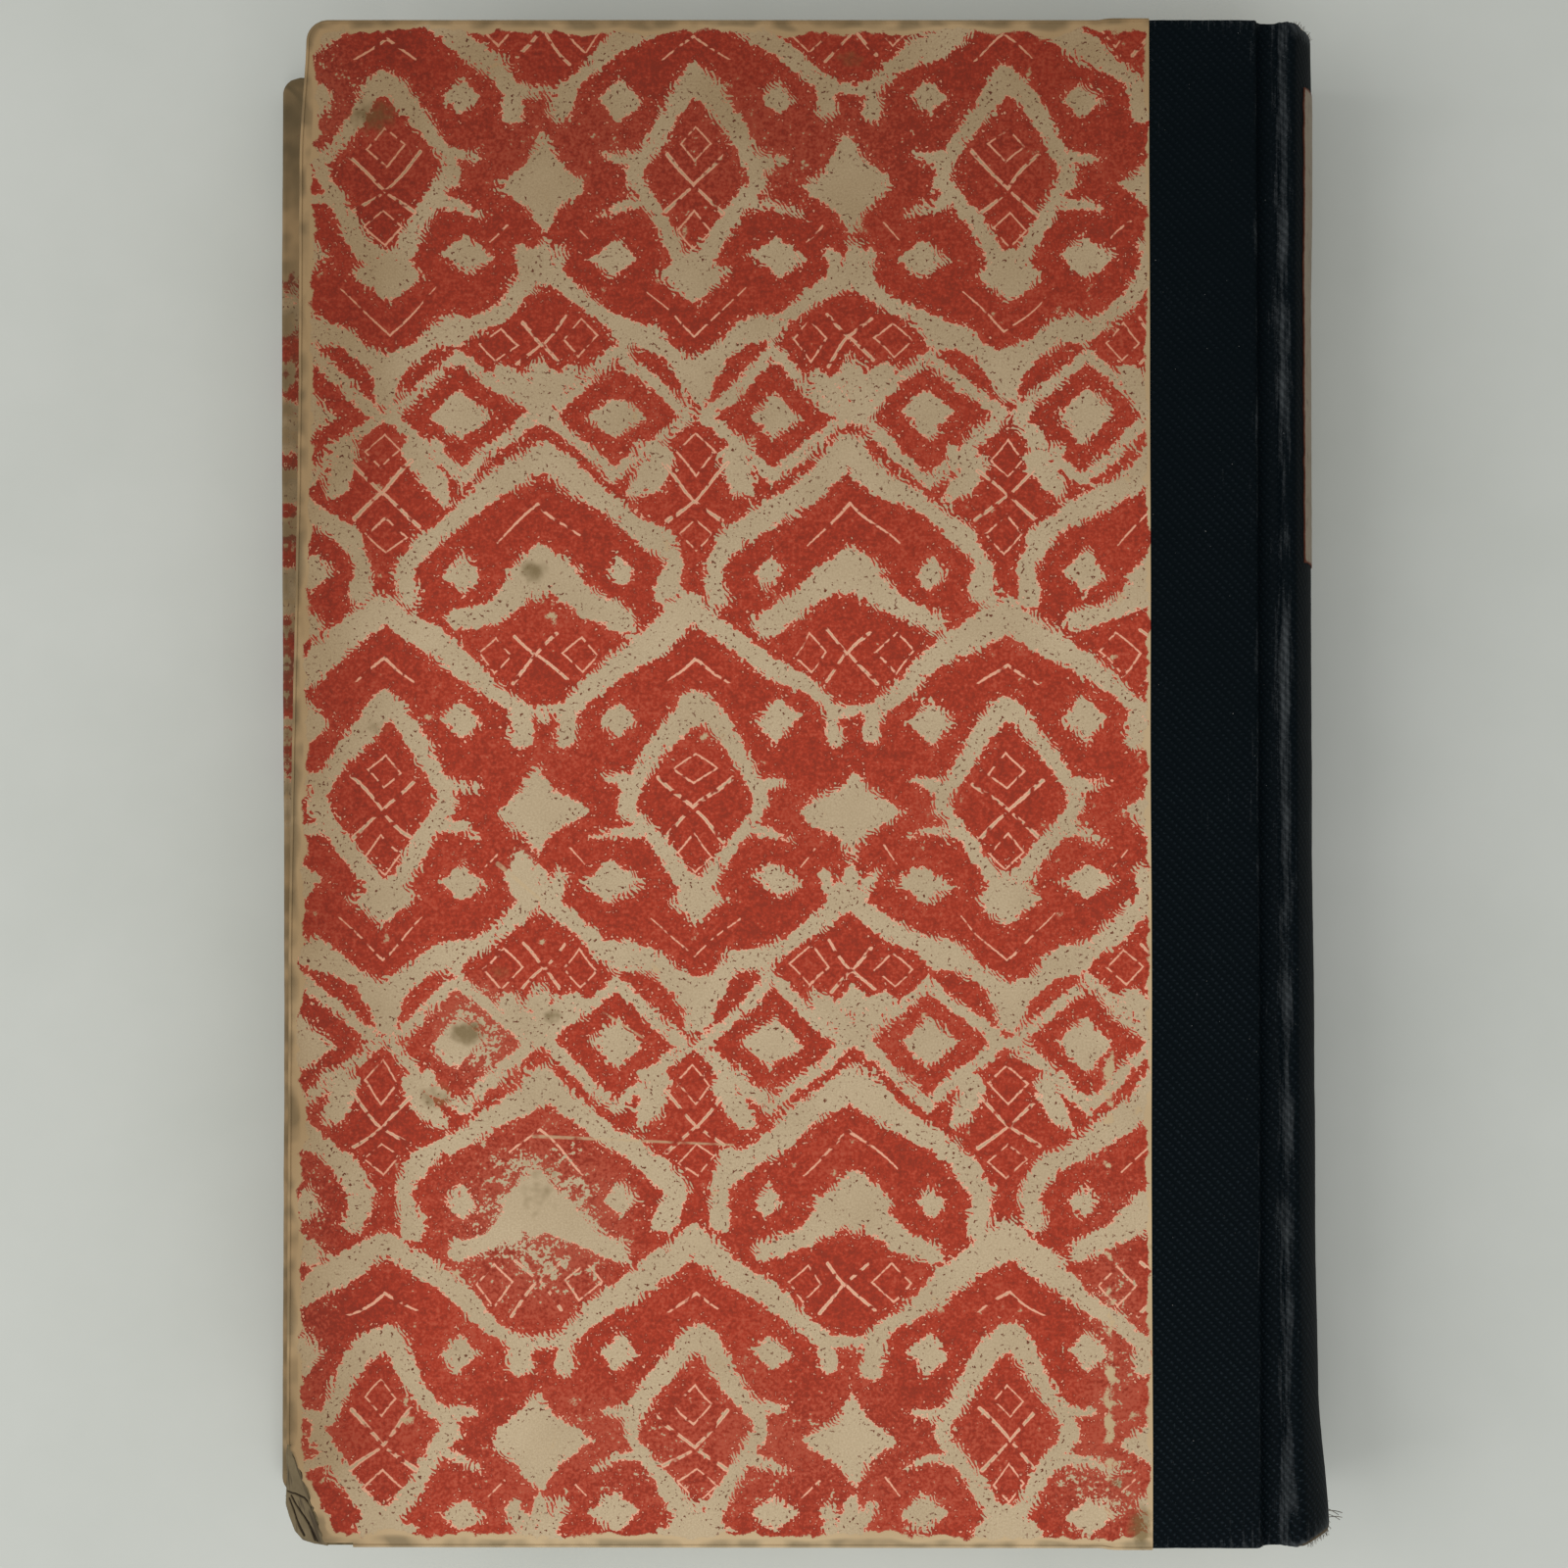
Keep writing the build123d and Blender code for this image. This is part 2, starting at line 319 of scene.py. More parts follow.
class Finish(Bench):
    """A material in the making."""

    def __init__(self, name):
        self.material = bpy.data.materials.new(name)
        self.material.use_nodes = True
        super().__init__(self.material.node_tree)

    def object_place(self):
        """The point's place on the book, in millimetres."""
        coordinates = self.node("ShaderNodeTexCoord", output="Object")
        return self.vector("SCALE", coordinates, scale=1 / MM)

    def flat_place(self):
        """The point's place on the sheet before it was folded, in millimetres."""
        return self.node("ShaderNodeUVMap", {"uv_map": "flat"})

    def attribute(self, name):
        return self.node("ShaderNodeAttribute", {"attribute_name": name}, output="Fac")

    def vector(self, operation, first, second=None, scale=None, output=0):
        inputs = {0: first, 1: second, "Scale": scale}
        given = {key: value for key, value in inputs.items() if value is not None}
        return self.node("ShaderNodeVectorMath", {"operation": operation}, given, output)

    def parts(self, vector):
        """The x, y and z of a vector."""
        split = self.node("ShaderNodeSeparateXYZ", None, {0: vector}).socket.node
        return [Number(self, socket) for socket in split.outputs]

    def joined(self, x, y, z=0.0):
        return self.node("ShaderNodeCombineXYZ", None, {0: x, 1: y, 2: z})

    def noise(self, place, size, detail=2.0, roughness=0.5):
        """Smooth noise from 0 to 1 whose features are about size millimetres across."""
        inputs = {"Vector": place, "Scale": 1 / size, "Detail": detail, "Roughness": roughness}
        return self.node("ShaderNodeTexNoise", None, inputs)

    def mix(self, share, first, second, blend="MIX"):
        """A colour between two others."""
        settings = {"data_type": "RGBA", "blend_type": blend, "clamp_factor": True}
        return self.node("ShaderNodeMix", settings, {0: share, 6: first, 7: second}, output=2)

    def surface(self, colour, roughness, height=None, bump=0.1, **fixed):
        """Ends the material in one Principled shader, with the relief of a height given in millimetres."""
        inputs = {"Base Color": colour, "Roughness": roughness}
        inputs.update({key.replace("_", " "): value for key, value in fixed.items()})
        if height is not None:
            relief = {"Height": height, "Distance": MM, "Strength": bump}
            inputs["Normal"] = self.node("ShaderNodeBump", None, relief)
        shader = self.node("ShaderNodeBsdfPrincipled", None, inputs)
        self.node("ShaderNodeOutputMaterial", None, {"Surface": shader})
        return self.material


# %% [markdown]
# The cover paper is printed in red on cream, with a pattern like a tie-dyed weaving: zigzag bands, outlined
# diamonds, crosses and eight-sided rings with an eye at each corner. It mirrors itself left and right about
# every column and comes back after one repeat downwards. Its cream shapes are listed once, for half a tile:
# diamonds, and chains of strokes with a half-width at each point. Places are millimetres from a column, and
# downwards from the middle of a cross.

# %% The printed pattern, drawn on half a tile
column_x, cluster_y = -13.1, 84.3
half_tile, repeat = 22.02, 88.8
tile_top = -18.0
shift_across, shift_down, least_swell, most_swell = 0.4, 0.35, 0.8, 1.15

cream_strokes = [
    # The eight-sided ring about the cluster of four diamonds
    [(0, -15.0, 1.9), (1.8, -13.6, 1.7), (9.0, -2.6, 1.0), (9.2, -1.0, 1.2)],
    [(9.2, -1.0, 1.0), (1.6, 10.0, 1.4)],
    [(8.6, -4.0, 1.2), (13.0, -4.2, 0.5)],
    [(7.8, 2.2, 0.9), (11.2, 2.7, 0.6), (14.0, 3.9, 0.3)],
    # The band below it, from a knob with two fingers to a fat drop
    [(18.9, 8.9, 0.9), (20.5, 12.3, 1.1)],
    [(22.0, 8.4, 0.6), (20.9, 13.0, 1.6), (16.5, 16.6, 1.2), (12.5, 19.2, 1.1), (9.7, 20.6, 1.9)],
    [(9.7, 20.6, 1.9), (6.5, 21.3, 1.8), (3.6, 23.7, 1.3), (0, 26.6, 2.4), (0, 29.4, 1.6)],
    # The frame of the large diamond, its knot with the next one and its tongue
    [(17.6, 26.6, 1.3), (20.6, 30.0, 1.6), (22.0, 32.4, 1.2)],
    [(7.4, 37.3, 0.9), (4.6, 38.6, 1.6), (6.6, 42.4, 1.7), (8.0, 44.2, 0.7)],
    # The wide band that ends in a hook
    [(22.0, 38.1, 2.3), (16.8, 42.5, 1.9), (11.8, 46.1, 1.7), (7.8, 48.6, 1.3), (5.2, 50.6, 1.7)],
    [(5.2, 50.2, 1.7), (2.9, 54.0, 1.3), (3.9, 58.2, 1.7)],
    # The roof-shaped band, its thin neck and its knob
    [(0, 60.7, 2.1), (6.3, 65.0, 2.0), (11.7, 69.0, 1.6), (15.6, 72.0, 1.1), (18.4, 74.4, 1.1)],
    [(18.4, 74.4, 1.1), (22.0, 75.0, 0.7)],
    [(18.6, 74.8, 1.1), (18.8, 78.2, 1.6)],
    # The triangle whose arms end in knobs
    [(22.0, 53.6, 1.3), (18.9, 57.2, 2.2), (15.3, 60.0, 1.5), (10.2, 62.2, 1.5)],
]
cream_diamonds = [
    (0, 12.6, 4.6, 3.6),
    (22.02, 0, 6.6, 4.7),
    (22.02, 0, 4.2, 6.8),
    (11.7, 10.2, 3.8, 2.9),
    (10.7, 55.2, 2.5, 2.7),
    (11.0, 76.2, 3.0, 2.9),
    (11.1, 32.8, 4.2, 3.7),
    (22.02, 26.9, 2.2, 2.6),
    (22.02, 55.0, 5.2, 4.2),
]
diamond_frame = (11.05, 32.8, 10.1, 8.8)
frame_half_width, outline_half_width = 0.85, 0.12
outlined_diamonds = [
    (0, -5.6, 2.4, 2.5),
    (0, 6.1, 2.5, 2.5),
    (16.4, 22.0, 2.6, 2.6),
    (0, 38.2, 2.5, 2.6),
    (0, 49.4, 2.6, 2.5),
    (15.8, 66.6, 2.5, 2.7),
]
thin_strokes = [
    # The two crosses, and the small ones that part the outlined diamonds
    [(-0.6, 1.0, 0.2), (4.6, -4.4, 0.3)],
    [(0.6, 1.0, 0.2), (4.2, 3.8, 0.34)],
    [(-0.4, 44.6, 0.2), (4.2, 39.8, 0.3)],
    [(0, 44.0, 0.2), (4.2, 47.6, 0.3)],
    [(19.0, 18.8, 0.22), (22.1, 22.3, 0.2)],
    [(22.1, 21.8, 0.2), (19.2, 25.2, 0.25)],
    [(18.9, 63.6, 0.25), (22.1, 66.9, 0.2)],
    [(21.6, 67.0, 0.2), (18.2, 70.6, 0.25)],
    # Pale dashes that follow the bands
    [(0, 20.9, 0.14), (6.6, 14.9, 0.08)],
    [(0, 67.6, 0.2), (5.6, 71.6, 0.1)],
    [(22.0, 45.0, 0.18), (15.7, 51.0, 0.1)],
    [(17.4, 5.2, 0.14), (15.2, 7.6, 0.08)],
]


def stroke_field(places, start, end):
    """How far each place is outside a stroke, negative on it. Each end has its own half-width."""
    first, last = np.array(start[:2]), np.array(end[:2])
    run = last - first
    from_start = places - first
    share = np.clip(from_start @ run / (run @ run), 0, 1)
    off_line = from_start - share[:, None] * run
    return np.hypot(off_line[:, 0], off_line[:, 1]) - (start[2] + (end[2] - start[2]) * share)


def diamond_field(places, centre_x, centre_y, half_width, half_height):
    """How far each place is outside a diamond, about: negative inside it."""
    off_centre = np.abs(places - np.array((centre_x, centre_y)))
    depth = half_width * half_height / math.hypot(half_width, half_height)
    return (off_centre @ np.array((1 / half_width, 1 / half_height)) - 1) * depth


def half_tile_shapes(shake):
    """The cream shapes of one half tile, a little different each time, as a hand-cut block prints them."""
    for chain in cream_strokes:
        moved = []
        for u, v, half_width in chain:
            on_mirror = u < 0.1 or u > half_tile - 0.1
            sideways = 0 if on_mirror else shake.uniform(-shift_across, shift_across)
            down = shake.uniform(-shift_down, shift_down)
            moved.append((u + sideways, v + down, half_width * shake.uniform(least_swell, most_swell)))
        for start, end in zip(moved, moved[1:]):
            yield stroke_field, (start, end)
    for u, v, half_width, half_height in cream_diamonds:
        size = shake.uniform(0.85, 1.1)
        yield diamond_field, (u, v + shake.uniform(-0.3, 0.3), half_width * size, half_height * size)


def cream_field(places):
    """How far each place of the drawing is outside the cream shapes, worked out half tile by half tile."""
    far_off = 9.0
    field = np.full(len(places), far_off)
    first_column = math.floor((places[:, 0].min() - column_x) / half_tile)
    last_column = math.ceil((places[:, 0].max() - column_x) / half_tile)
    border, border_below = 6, 14
    for column in range(first_column, last_column):
        for row in range(-1, 3):
            shake = random.Random(column * 31 + row)
            across = places[:, 0] - column_x - column * half_tile
            if column % 2:
                across = half_tile - across
            down = cluster_y - places[:, 1] - row * repeat
            inside = (across > -border) & (across < half_tile + border)
            inside &= (down > tile_top - border) & (down < tile_top + repeat + border_below)
            near = np.nonzero(inside)[0]
            if not len(near):
                continue
            local = np.stack((across, down), axis=1)[near]
            for distance, shape in half_tile_shapes(shake):
                field[near] = np.minimum(field[near], distance(local, *shape))
            frame_edge = np.abs(diamond_field(local, *diamond_frame)) - frame_half_width
            field[near] = np.minimum(field[near], frame_edge)
    return field


def ellipse_field(places, ellipses):
    """The strength of soft ellipses at each place: the most of them where they overlap."""
    field = np.zeros(len(places))
    for centre_x, centre_y, half_width, half_height, strength in ellipses:
        off_centre = (places - np.array((centre_x, centre_y))) / np.array((half_width, half_height))
        share = np.clip((1.15 - np.hypot(off_centre[:, 0], off_centre[:, 1])) / 0.8, 0, 1)
        field = np.maximum(field, share * strength)
    return field


# %% [markdown]
# The big shapes are soft and slow, so the points of the paper can hold them: `lay_print` gives each point
# its distance to the cream and its share of each stain. What is finer than the points, such as teeth,
# dashes, thin lines and flecks, is left to the shader, which adds them to the distance before it cuts red
# from cream.

# %% Stains, worn zones and the print on the points
stains = [
    (-59.1, 94.7, 5.5, 3.5, 0.8),
    (9.0, 102.5, 3.5, 2.0, 0.7),
    (-36.2, 29.5, 2.8, 2.4, 0.8),
    (-58.4, 7.3, 3.5, 2.0, 0.6),
    (-45.3, -36.0, 3.4, 2.4, 0.9),
    (-49.5, -45.0, 4.0, 3.4, 0.8),
    (-33.1, -33.5, 2.0, 1.6, 0.9),
    (-41.0, -27.0, 3.0, 2.6, 0.6),
    (-35.5, -58.0, 5.0, 9.0, 0.45),
    (51.2, -66.0, 1.6, 1.2, 0.8),
    (49.5, -105.0, 3.0, 4.0, 1.0),
    (46.0, -99.0, 2.2, 1.4, 0.6),
]
worn_zones = [
    (-35.0, -62.0, 15.0, 15.0, 0.8),
    (-10.0, -95.0, 60.0, 14.0, 0.3),
    (-10.0, 90.0, 60.0, 12.0, 0.25),
    (-44.0, -36.0, 8.0, 9.0, 0.7),
    (-37.5, -14.0, 2.4, 4.6, 1.6),
    (-68.0, 97.0, 9.0, 12.0, 0.5),
    (44.0, -100.0, 9.0, 10.0, 0.6),
    (46.0, -78.0, 6.0, 26.0, 0.45),
    (-68.0, -70.0, 6.0, 40.0, 0.35),
]
scratches = [
    [(-35.9, -50.4, 0.16), (-7.7, -51.6, 0.06)],
    [(-41.0, -12.0, 0.25), (-35.0, -17.0, 0.12)],
    [(-26.0, -33.0, 0.1), (-20.5, -36.5, 0.08)],
]


def lay_print(piece):
    """Writes on each point of a paper where it lies in the drawing, and the drawing's fields there."""
    mesh = piece.data
    corner_points = np.empty(len(mesh.loops), dtype=np.int32)
    mesh.loops.foreach_get("vertex_index", corner_points)
    corner_places = np.empty(len(mesh.loops) * 2, dtype=np.float32)
    mesh.uv_layers["flat"].data.foreach_get("uv", corner_places)
    flat = np.zeros((len(mesh.vertices), 2))
    flat[corner_points] = corner_places.reshape(-1, 2)
    drift = [(wander(x, y, size=9.0, seed=1.0), wander(x, y, size=9.0, seed=5.0)) for x, y in flat]
    drift_reach = 0.8
    drawn = flat + drift_reach * np.array(drift)
    fields = {
        "ground": cream_field(drawn),
        "stain": ellipse_field(flat, stains),
        "fade": ellipse_field(flat, worn_zones),
    }
    for name, values in fields.items():
        layer = mesh.attributes.new(name, "FLOAT", "POINT")
        layer.data.foreach_set("value", values.astype(np.float32))
    mesh.uv_layers.new(name="print").data.foreach_set("uv", drawn[corner_points].astype(np.float32).ravel())


print("pattern shapes:", sum(len(chain) - 1 for chain in cream_strokes) + len(cream_diamonds))

# %% [markdown]
# In the shader, a stroke is a few vector nodes: the nearest point of its line is found by a dot product,
# and the way from there to the shaded point is measured. Only the thin lines are drawn like this.

# %% Thin lines in the shader


def stroke_distance(finish, place, start, end):
    """How far a place is outside a stroke: negative on it."""
    ax, ay, a_width = start
    bx, by, b_width = end
    run = Vector((bx - ax, by - ay, 0))
    from_start = finish.vector("SUBTRACT", place, (ax, ay, 0))
    share = finish.vector("DOT_PRODUCT", from_start, tuple(run / run.length_squared), output="Value")
    share = share.clamped()
    off_line = finish.vector("ADD", finish.vector("SCALE", tuple(-run), scale=share), from_start)
    distance = finish.vector("LENGTH", off_line, output="Value")
    return distance - share.math("MULTIPLY_ADD", b_width - a_width, a_width)


def strokes(finish, place, chains):
    """The distance to the nearest of several chains of strokes."""
    nearest = None
    for chain in chains:
        for start, end in zip(chain, chain[1:]):
            distance = stroke_distance(finish, place, start, end)
            nearest = distance if nearest is None else nearest.least(distance)
    return nearest


def outlines(finish, place, shapes, nearest):
    """The lesser of a distance and the distance to the nearest diamond's outline."""
    for centre_x, centre_y, half_width, half_height in shapes:
        off_centre = finish.vector("ABSOLUTE", finish.vector("SUBTRACT", place, (centre_x, centre_y, 0)))
        slope = (1 / half_width, 1 / half_height, 0)
        share = finish.vector("DOT_PRODUCT", off_centre, slope, output="Value")
        depth = half_width * half_height / math.hypot(half_width, half_height)
        nearest = nearest.least(abs((share - 1) * depth) - outline_half_width)
    return nearest


# %% [markdown]
# The paper itself is cream and has toned in patches, and a painted shade darkens it towards the head and the
# fore-edge. The red is mottled, as a block printed by hand leaves it, with a salmon line along most edges
# and short brown dashes beside it. Round the boards' edges the ink has rubbed off and dirt has settled, and
# along the fore-edge rim dirt and painted shade darken the paper. Stains and worn zones weaken the ink and
# tint the paper.

# %% The cover paper's finish
cream = ink(188, 169, 138)
cream_shade = ink(168, 148, 118)
margin_cream = ink(184, 160, 124)
print_red = ink(178, 56, 32)
print_red_dark = ink(134, 45, 27)
print_red_worn = ink(170, 92, 70)
salmon = ink(222, 164, 136)
print_brown = ink(100, 50, 30)
stain_brown = ink(104, 86, 50)
soil_and_shade_brown = ink(92, 84, 62)


def cover_paper_finish():
    finish = Finish("cover_paper")
    place = finish.flat_place()
    drawn = finish.node("ShaderNodeUVMap", {"uv_map": "print"})
    rub, stain, fade = (finish.attribute(name) for name in ("rub", "stain", "fade"))
    grain = finish.noise(place, 0.28, 2, 0.7)
    sideways = finish.noise(finish.vector("MULTIPLY", place, (0.3, 1.3, 1.0)), 0.6, 1, 0.6)
    upright = finish.noise(finish.vector("MULTIPLY", place, (1.3, 0.3, 1.0)), 0.6, 1, 0.6)
    flecks = finish.noise(place, 0.5, 1, 0.6)
    gate = finish.noise(place, 1.4, 1)
    zone = finish.noise(place, 4.0, 1)
    patches = finish.noise(place, 14.0, 2, 0.55)
    teeth = (sideways + upright - 1) * zone.rise(0.46, 0.6) * 1.7 + (gate - 0.5) * 1.5

    x, y, _ = finish.parts(place)
    comb = ((x * 0.8 + y * 0.55 + zone * 5) * (math.tau / 0.62)).math("SINE") * zone.rise(0.47, 0.56)
    ground = finish.attribute("ground") + teeth + comb * 0.45 + (flecks - 0.5) * 1.4 + 0.05
    u = (finish.parts(drawn)[0] - column_x).math("PINGPONG", half_tile)
    v = (cluster_y - finish.parts(drawn)[1]).math("WRAP", tile_top, tile_top + repeat)
    folded = finish.joined(u, v)
    lines = outlines(finish, folded, outlined_diamonds, strokes(finish, folded, thin_strokes))
    lines = lines + (flecks - 0.5) * 0.3

    ragged = (patches - 0.5) * 0.6 + (zone - 0.5) * 0.9 + (gate - 0.5) * 0.8 + (grain - 0.5) * 0.4
    outer_edge = x.fall(-71.4, -70.6)
    kept = outer_edge * y.rise(-12, -4) * y.fall(76, 84)
    worn = (rub + ragged - kept * 0.45).rise(0.42, 0.52)
    thin_ink = fade * 0.5 + patches * 0.7 + (flecks - 0.5) * 1.2 + (gate - 0.5) * 0.6
    bare = finish.mix(grain.rise(0.3, 0.7), cream_shade, cream)
    bare = finish.mix(worn, bare, margin_cream)
    mottle = flecks * 0.45 + gate * 0.3 + patches * 0.35 + grain * 0.2
    red = finish.mix(mottle.rise(0.54, 0.78), print_red_dark, print_red)
    red = finish.mix(thin_ink.rise(0.38, 0.7) * 0.5, red, print_red_worn)
    red = finish.mix(flecks.fall(0.31, 0.35) * ground.fall(0.7, 1.4), red, salmon)

    inked = ground.rise(0.0, 0.08)
    colour = finish.mix(inked, bare, red)
    rim = ground.rise(-0.02, 0.03) * ground.fall(0.12, 0.18) * gate.rise(0.4, 0.46)
    colour = finish.mix(rim, colour, salmon)
    beside_red = ground.rise(-1.5, -0.6) * ground.fall(-0.12, -0.06)
    dash = beside_red * flecks.rise(0.6, 0.64) * gate.rise(0.4, 0.5)
    colour = finish.mix(dash, colour, print_brown)
    drawn_line = lines.fall(-0.05, 0.05) * gate.rise(0.4, 0.46)
    colour = finish.mix(drawn_line, colour, finish.mix(lines.fall(-0.22, -0.12), salmon, bare))
    eaten = fade * 1.15 + (flecks - 0.5) * 2.0 + (gate - 0.5) * 1.8 + (zone - 0.5) * 1.2
    colour = finish.mix(worn.most(eaten.rise(0.85, 1.0)), colour, bare)

    mark = stain * 0.9 + (patches - 0.5) * 0.9 + (gate - 0.5) * 0.7 + (grain - 0.5) * 0.4
    colour = finish.mix(mark.rise(0.42, 0.85) * stain.rise(0.0, 0.3) * 0.75, colour, stain_brown)
    scratch = strokes(finish, place, scratches).fall(0.0, 0.15) * gate.rise(0.3, 0.5)
    colour = finish.mix(scratch * 0.7, colour, margin_cream)
    dirt = rub.rise(0.72, 1.0) * zone.rise(0.38, 0.6)
    colour = finish.mix(dirt * 0.7, colour, soil_and_shade_brown)
    # Dirt and painted shade: the fore-edge rim of the paper is darkened, more at the head and the tail.
    rim_dirt_and_shade = outer_edge * (zone * 0.4 + y.rise(84, 96) * 0.5 + y.fall(-104, -100) * 0.5)
    colour = finish.mix(rim_dirt_and_shade.clamped(), colour, soil_and_shade_brown)
    # Painted shade: the paper darkens towards the head and the fore-edge, on top of its patchy toning.
    shade = (patches - 0.5) * 0.9 + x.fall(-70, -50) * 0.8 + y.rise(20, 100) * 0.8 + 0.1
    toned_and_shaded = finish.mix(shade.clamped(), colour, ink(202, 192, 178), blend="MULTIPLY")
    return finish.surface(toned_and_shaded, grain * 0.15 + 0.72, grain * 0.03, 0.6, Specular_IOR_Level=0.2)


cover_paper_material = cover_paper_finish()
print("cover paper nodes:", len(cover_paper_material.node_tree.nodes))

# %% [markdown]
# The book cloth is a fine twill, dyed almost black with a hint of blue. A twill shows slanting ribs because
# each thread passes over two and under two, one step further on in each row. The shader repeats that: a
# slanting wave for the rib, cut into stitches by a second wave across it, with a painted highlight on the
# stitches' crests that grows towards the tail. Rubbed places lose their dye and turn grey, then brown.

# %% The cloth's finish
cloth_dark = ink(1, 7, 11)
cloth_lit = ink(36, 45, 51)
cloth_rubbed = ink(68, 72, 74)
cloth_frayed = ink(84, 70, 50)
rib_pitch, stitch_pitch = 1.39, 0.8


def cloth_finish():
    finish = Finish("book_cloth")
    place = finish.flat_place()
    across, along, _ = finish.parts(place)
    rub = finish.attribute("rub")
    drift = (finish.noise(place, 5.0, 2) - 0.5) * 0.5
    rib = ((across + along + drift) * (math.tau / rib_pitch)).math("SINE") * 0.5 + 0.5
    slip = finish.noise(place, 1.1, 1) * 0.9
    stitch = ((along - across * 0.6 + slip) * (math.tau / stitch_pitch)).math("SINE") * 0.5 + 0.5
    fibre = finish.noise(place, 0.22, 3, 0.7)
    patches = finish.noise(place, 12.0, 3)
    # Painted highlight: the crests of the twill's stitches take a lighter colour, more towards the tail.
    crest_highlight = (rib.rise(0.5, 1.0) * stitch.rise(0.2, 0.9) * fibre.rise(0.35, 0.65)).clamped()
    highlight_share = crest_highlight * (patches * 0.5 + along.fall(-100, 60) * 0.5)
    colour = finish.mix(highlight_share, cloth_dark, cloth_lit)
    streaks = finish.noise(finish.vector("MULTIPLY", place, (1.4, 0.1, 1.0)), 0.9, 2, 0.6)
    scuff = rub * 1.1 + (fibre - 0.5) * 0.9 + (patches - 0.5) * 0.8 + (streaks - 0.5) * 1.4
    scuff = scuff.rise(0.36, 1.0)
    colour = finish.mix(scuff * (rib * 0.4 + 0.45), colour, cloth_rubbed)
    bald = (rub + (patches - 0.5) * 0.3 + (fibre - 0.5) * 0.5).rise(0.9, 1.15)
    colour = finish.mix(bald, colour, cloth_frayed)
    lint = finish.noise(place, 0.35, 1).rise(0.8, 0.83)
    colour = finish.mix(lint * 0.6, colour, ink(150, 150, 146))
    height = rib * 0.05 + stitch * 0.03 + fibre * 0.04
    roughness = 0.68 - scuff * 0.08
    return finish.surface(colour, roughness, height, 0.7, Specular_IOR_Level=0.05)


cloth_material = cloth_finish()
print("cloth nodes:", len(cloth_material.node_tree.nodes))

# %% [markdown]
# The hidden sheets and the edges of the boards get plain paper-like finishes. A board is pulp, pressed in
# layers, and the layers show as fine lines round its edge. The pages have toned more at their edges than
# inside, and single leaves show as thin dark gaps.

# %% Finishes of the boards, pages and hidden sheets


def pulp_finish(name, light, dark, layer_pitch=0.0, fibre_size=0.4, specks=0.0):
    """Paper or board: mottled between two colours, with fibres, and with layers where a pitch is given."""
    finish = Finish(name)
    place = finish.object_place()
    x, y, z = finish.parts(place)
    stretched = finish.joined(x * 0.35, y * 0.35, z * 1.6)
    fibre = finish.noise(stretched, fibre_size, 3, 0.65)
    patches = finish.noise(place, 11.0, 3)
    colour = finish.mix((fibre * 0.6 + patches * 0.6 - 0.1).clamped(), dark, light)
    height = fibre * 0.05
    if layer_pitch:
        waver = (finish.noise(place, 4.0, 2) - 0.5) * 0.8
        layers = ((z + waver) * (math.tau / layer_pitch)).math("SINE")
        gap = layers.rise(0.6, 1.0) * finish.noise(place, 1.5, 2).rise(0.35, 0.6)
        gap_colour = (*(c * 0.35 for c in dark[:3]), 1.0)
        colour = finish.mix(gap * 0.6, colour, gap_colour)
        height = height - gap * 0.12
    if specks:
        fox = finish.noise(place, 2.4, 2, 0.6).rise(0.68, 0.76) * specks
        colour = finish.mix(fox, colour, ink(140, 98, 58))
    return finish.surface(colour, 0.85, height, 0.7, Specular_IOR_Level=0.2)


board_material = pulp_finish("pulp_board", ink(128, 114, 84), ink(84, 72, 48), 0.62)
endpaper_material = pulp_finish("endpaper", ink(206, 194, 164), ink(184, 168, 134), 0, 0.5, 0.5)
lining_material = pulp_finish("lining_card", ink(170, 146, 108), ink(132, 108, 76), 0, 0.4)
mull_material = pulp_finish("mull_gauze", ink(196, 186, 158), ink(150, 136, 104), 0, 0.3)
edge_material = pulp_finish("page_edges", ink(204, 186, 146), ink(164, 140, 98), 0, 0.35, 0.35)
print("materials so far:", len(bpy.data.materials))

# %% [markdown]
# The cloth wraps the spine and a strip of each board. Its section is a chain of arcs: flat on the board,
# over the board's edge, down into the groove about the hinge line, over the ridge and round the spine. It
# is made in two halves that meet along the middle of the spine, one for each cover, because a sheet can
# bend between two bodies only across one hinge. At head and tail the cloth turns in over the boards and
# over the card in the spine.

# %% The section of the cloth
edge_round = 0.7
turn_steps = [turn_in, 9.0, 4.0, 1.0]
soft_turn = 0.45
quarter_turn = [math.pi / 2 * step / 4 for step in range(5)]
deepest_dent = 0.26


def arc_points(centre, radius, start, end, count, inward=False):
    """Points along an arc, each with the direction that faces out of the book."""
    found = []
    for step in range(count + 1):
        angle = between(start, end, step / count)
        way = Vector((math.cos(angle), 0, math.sin(angle)))
        found.append((centre + radius * way, -way if inward else way))
    return found


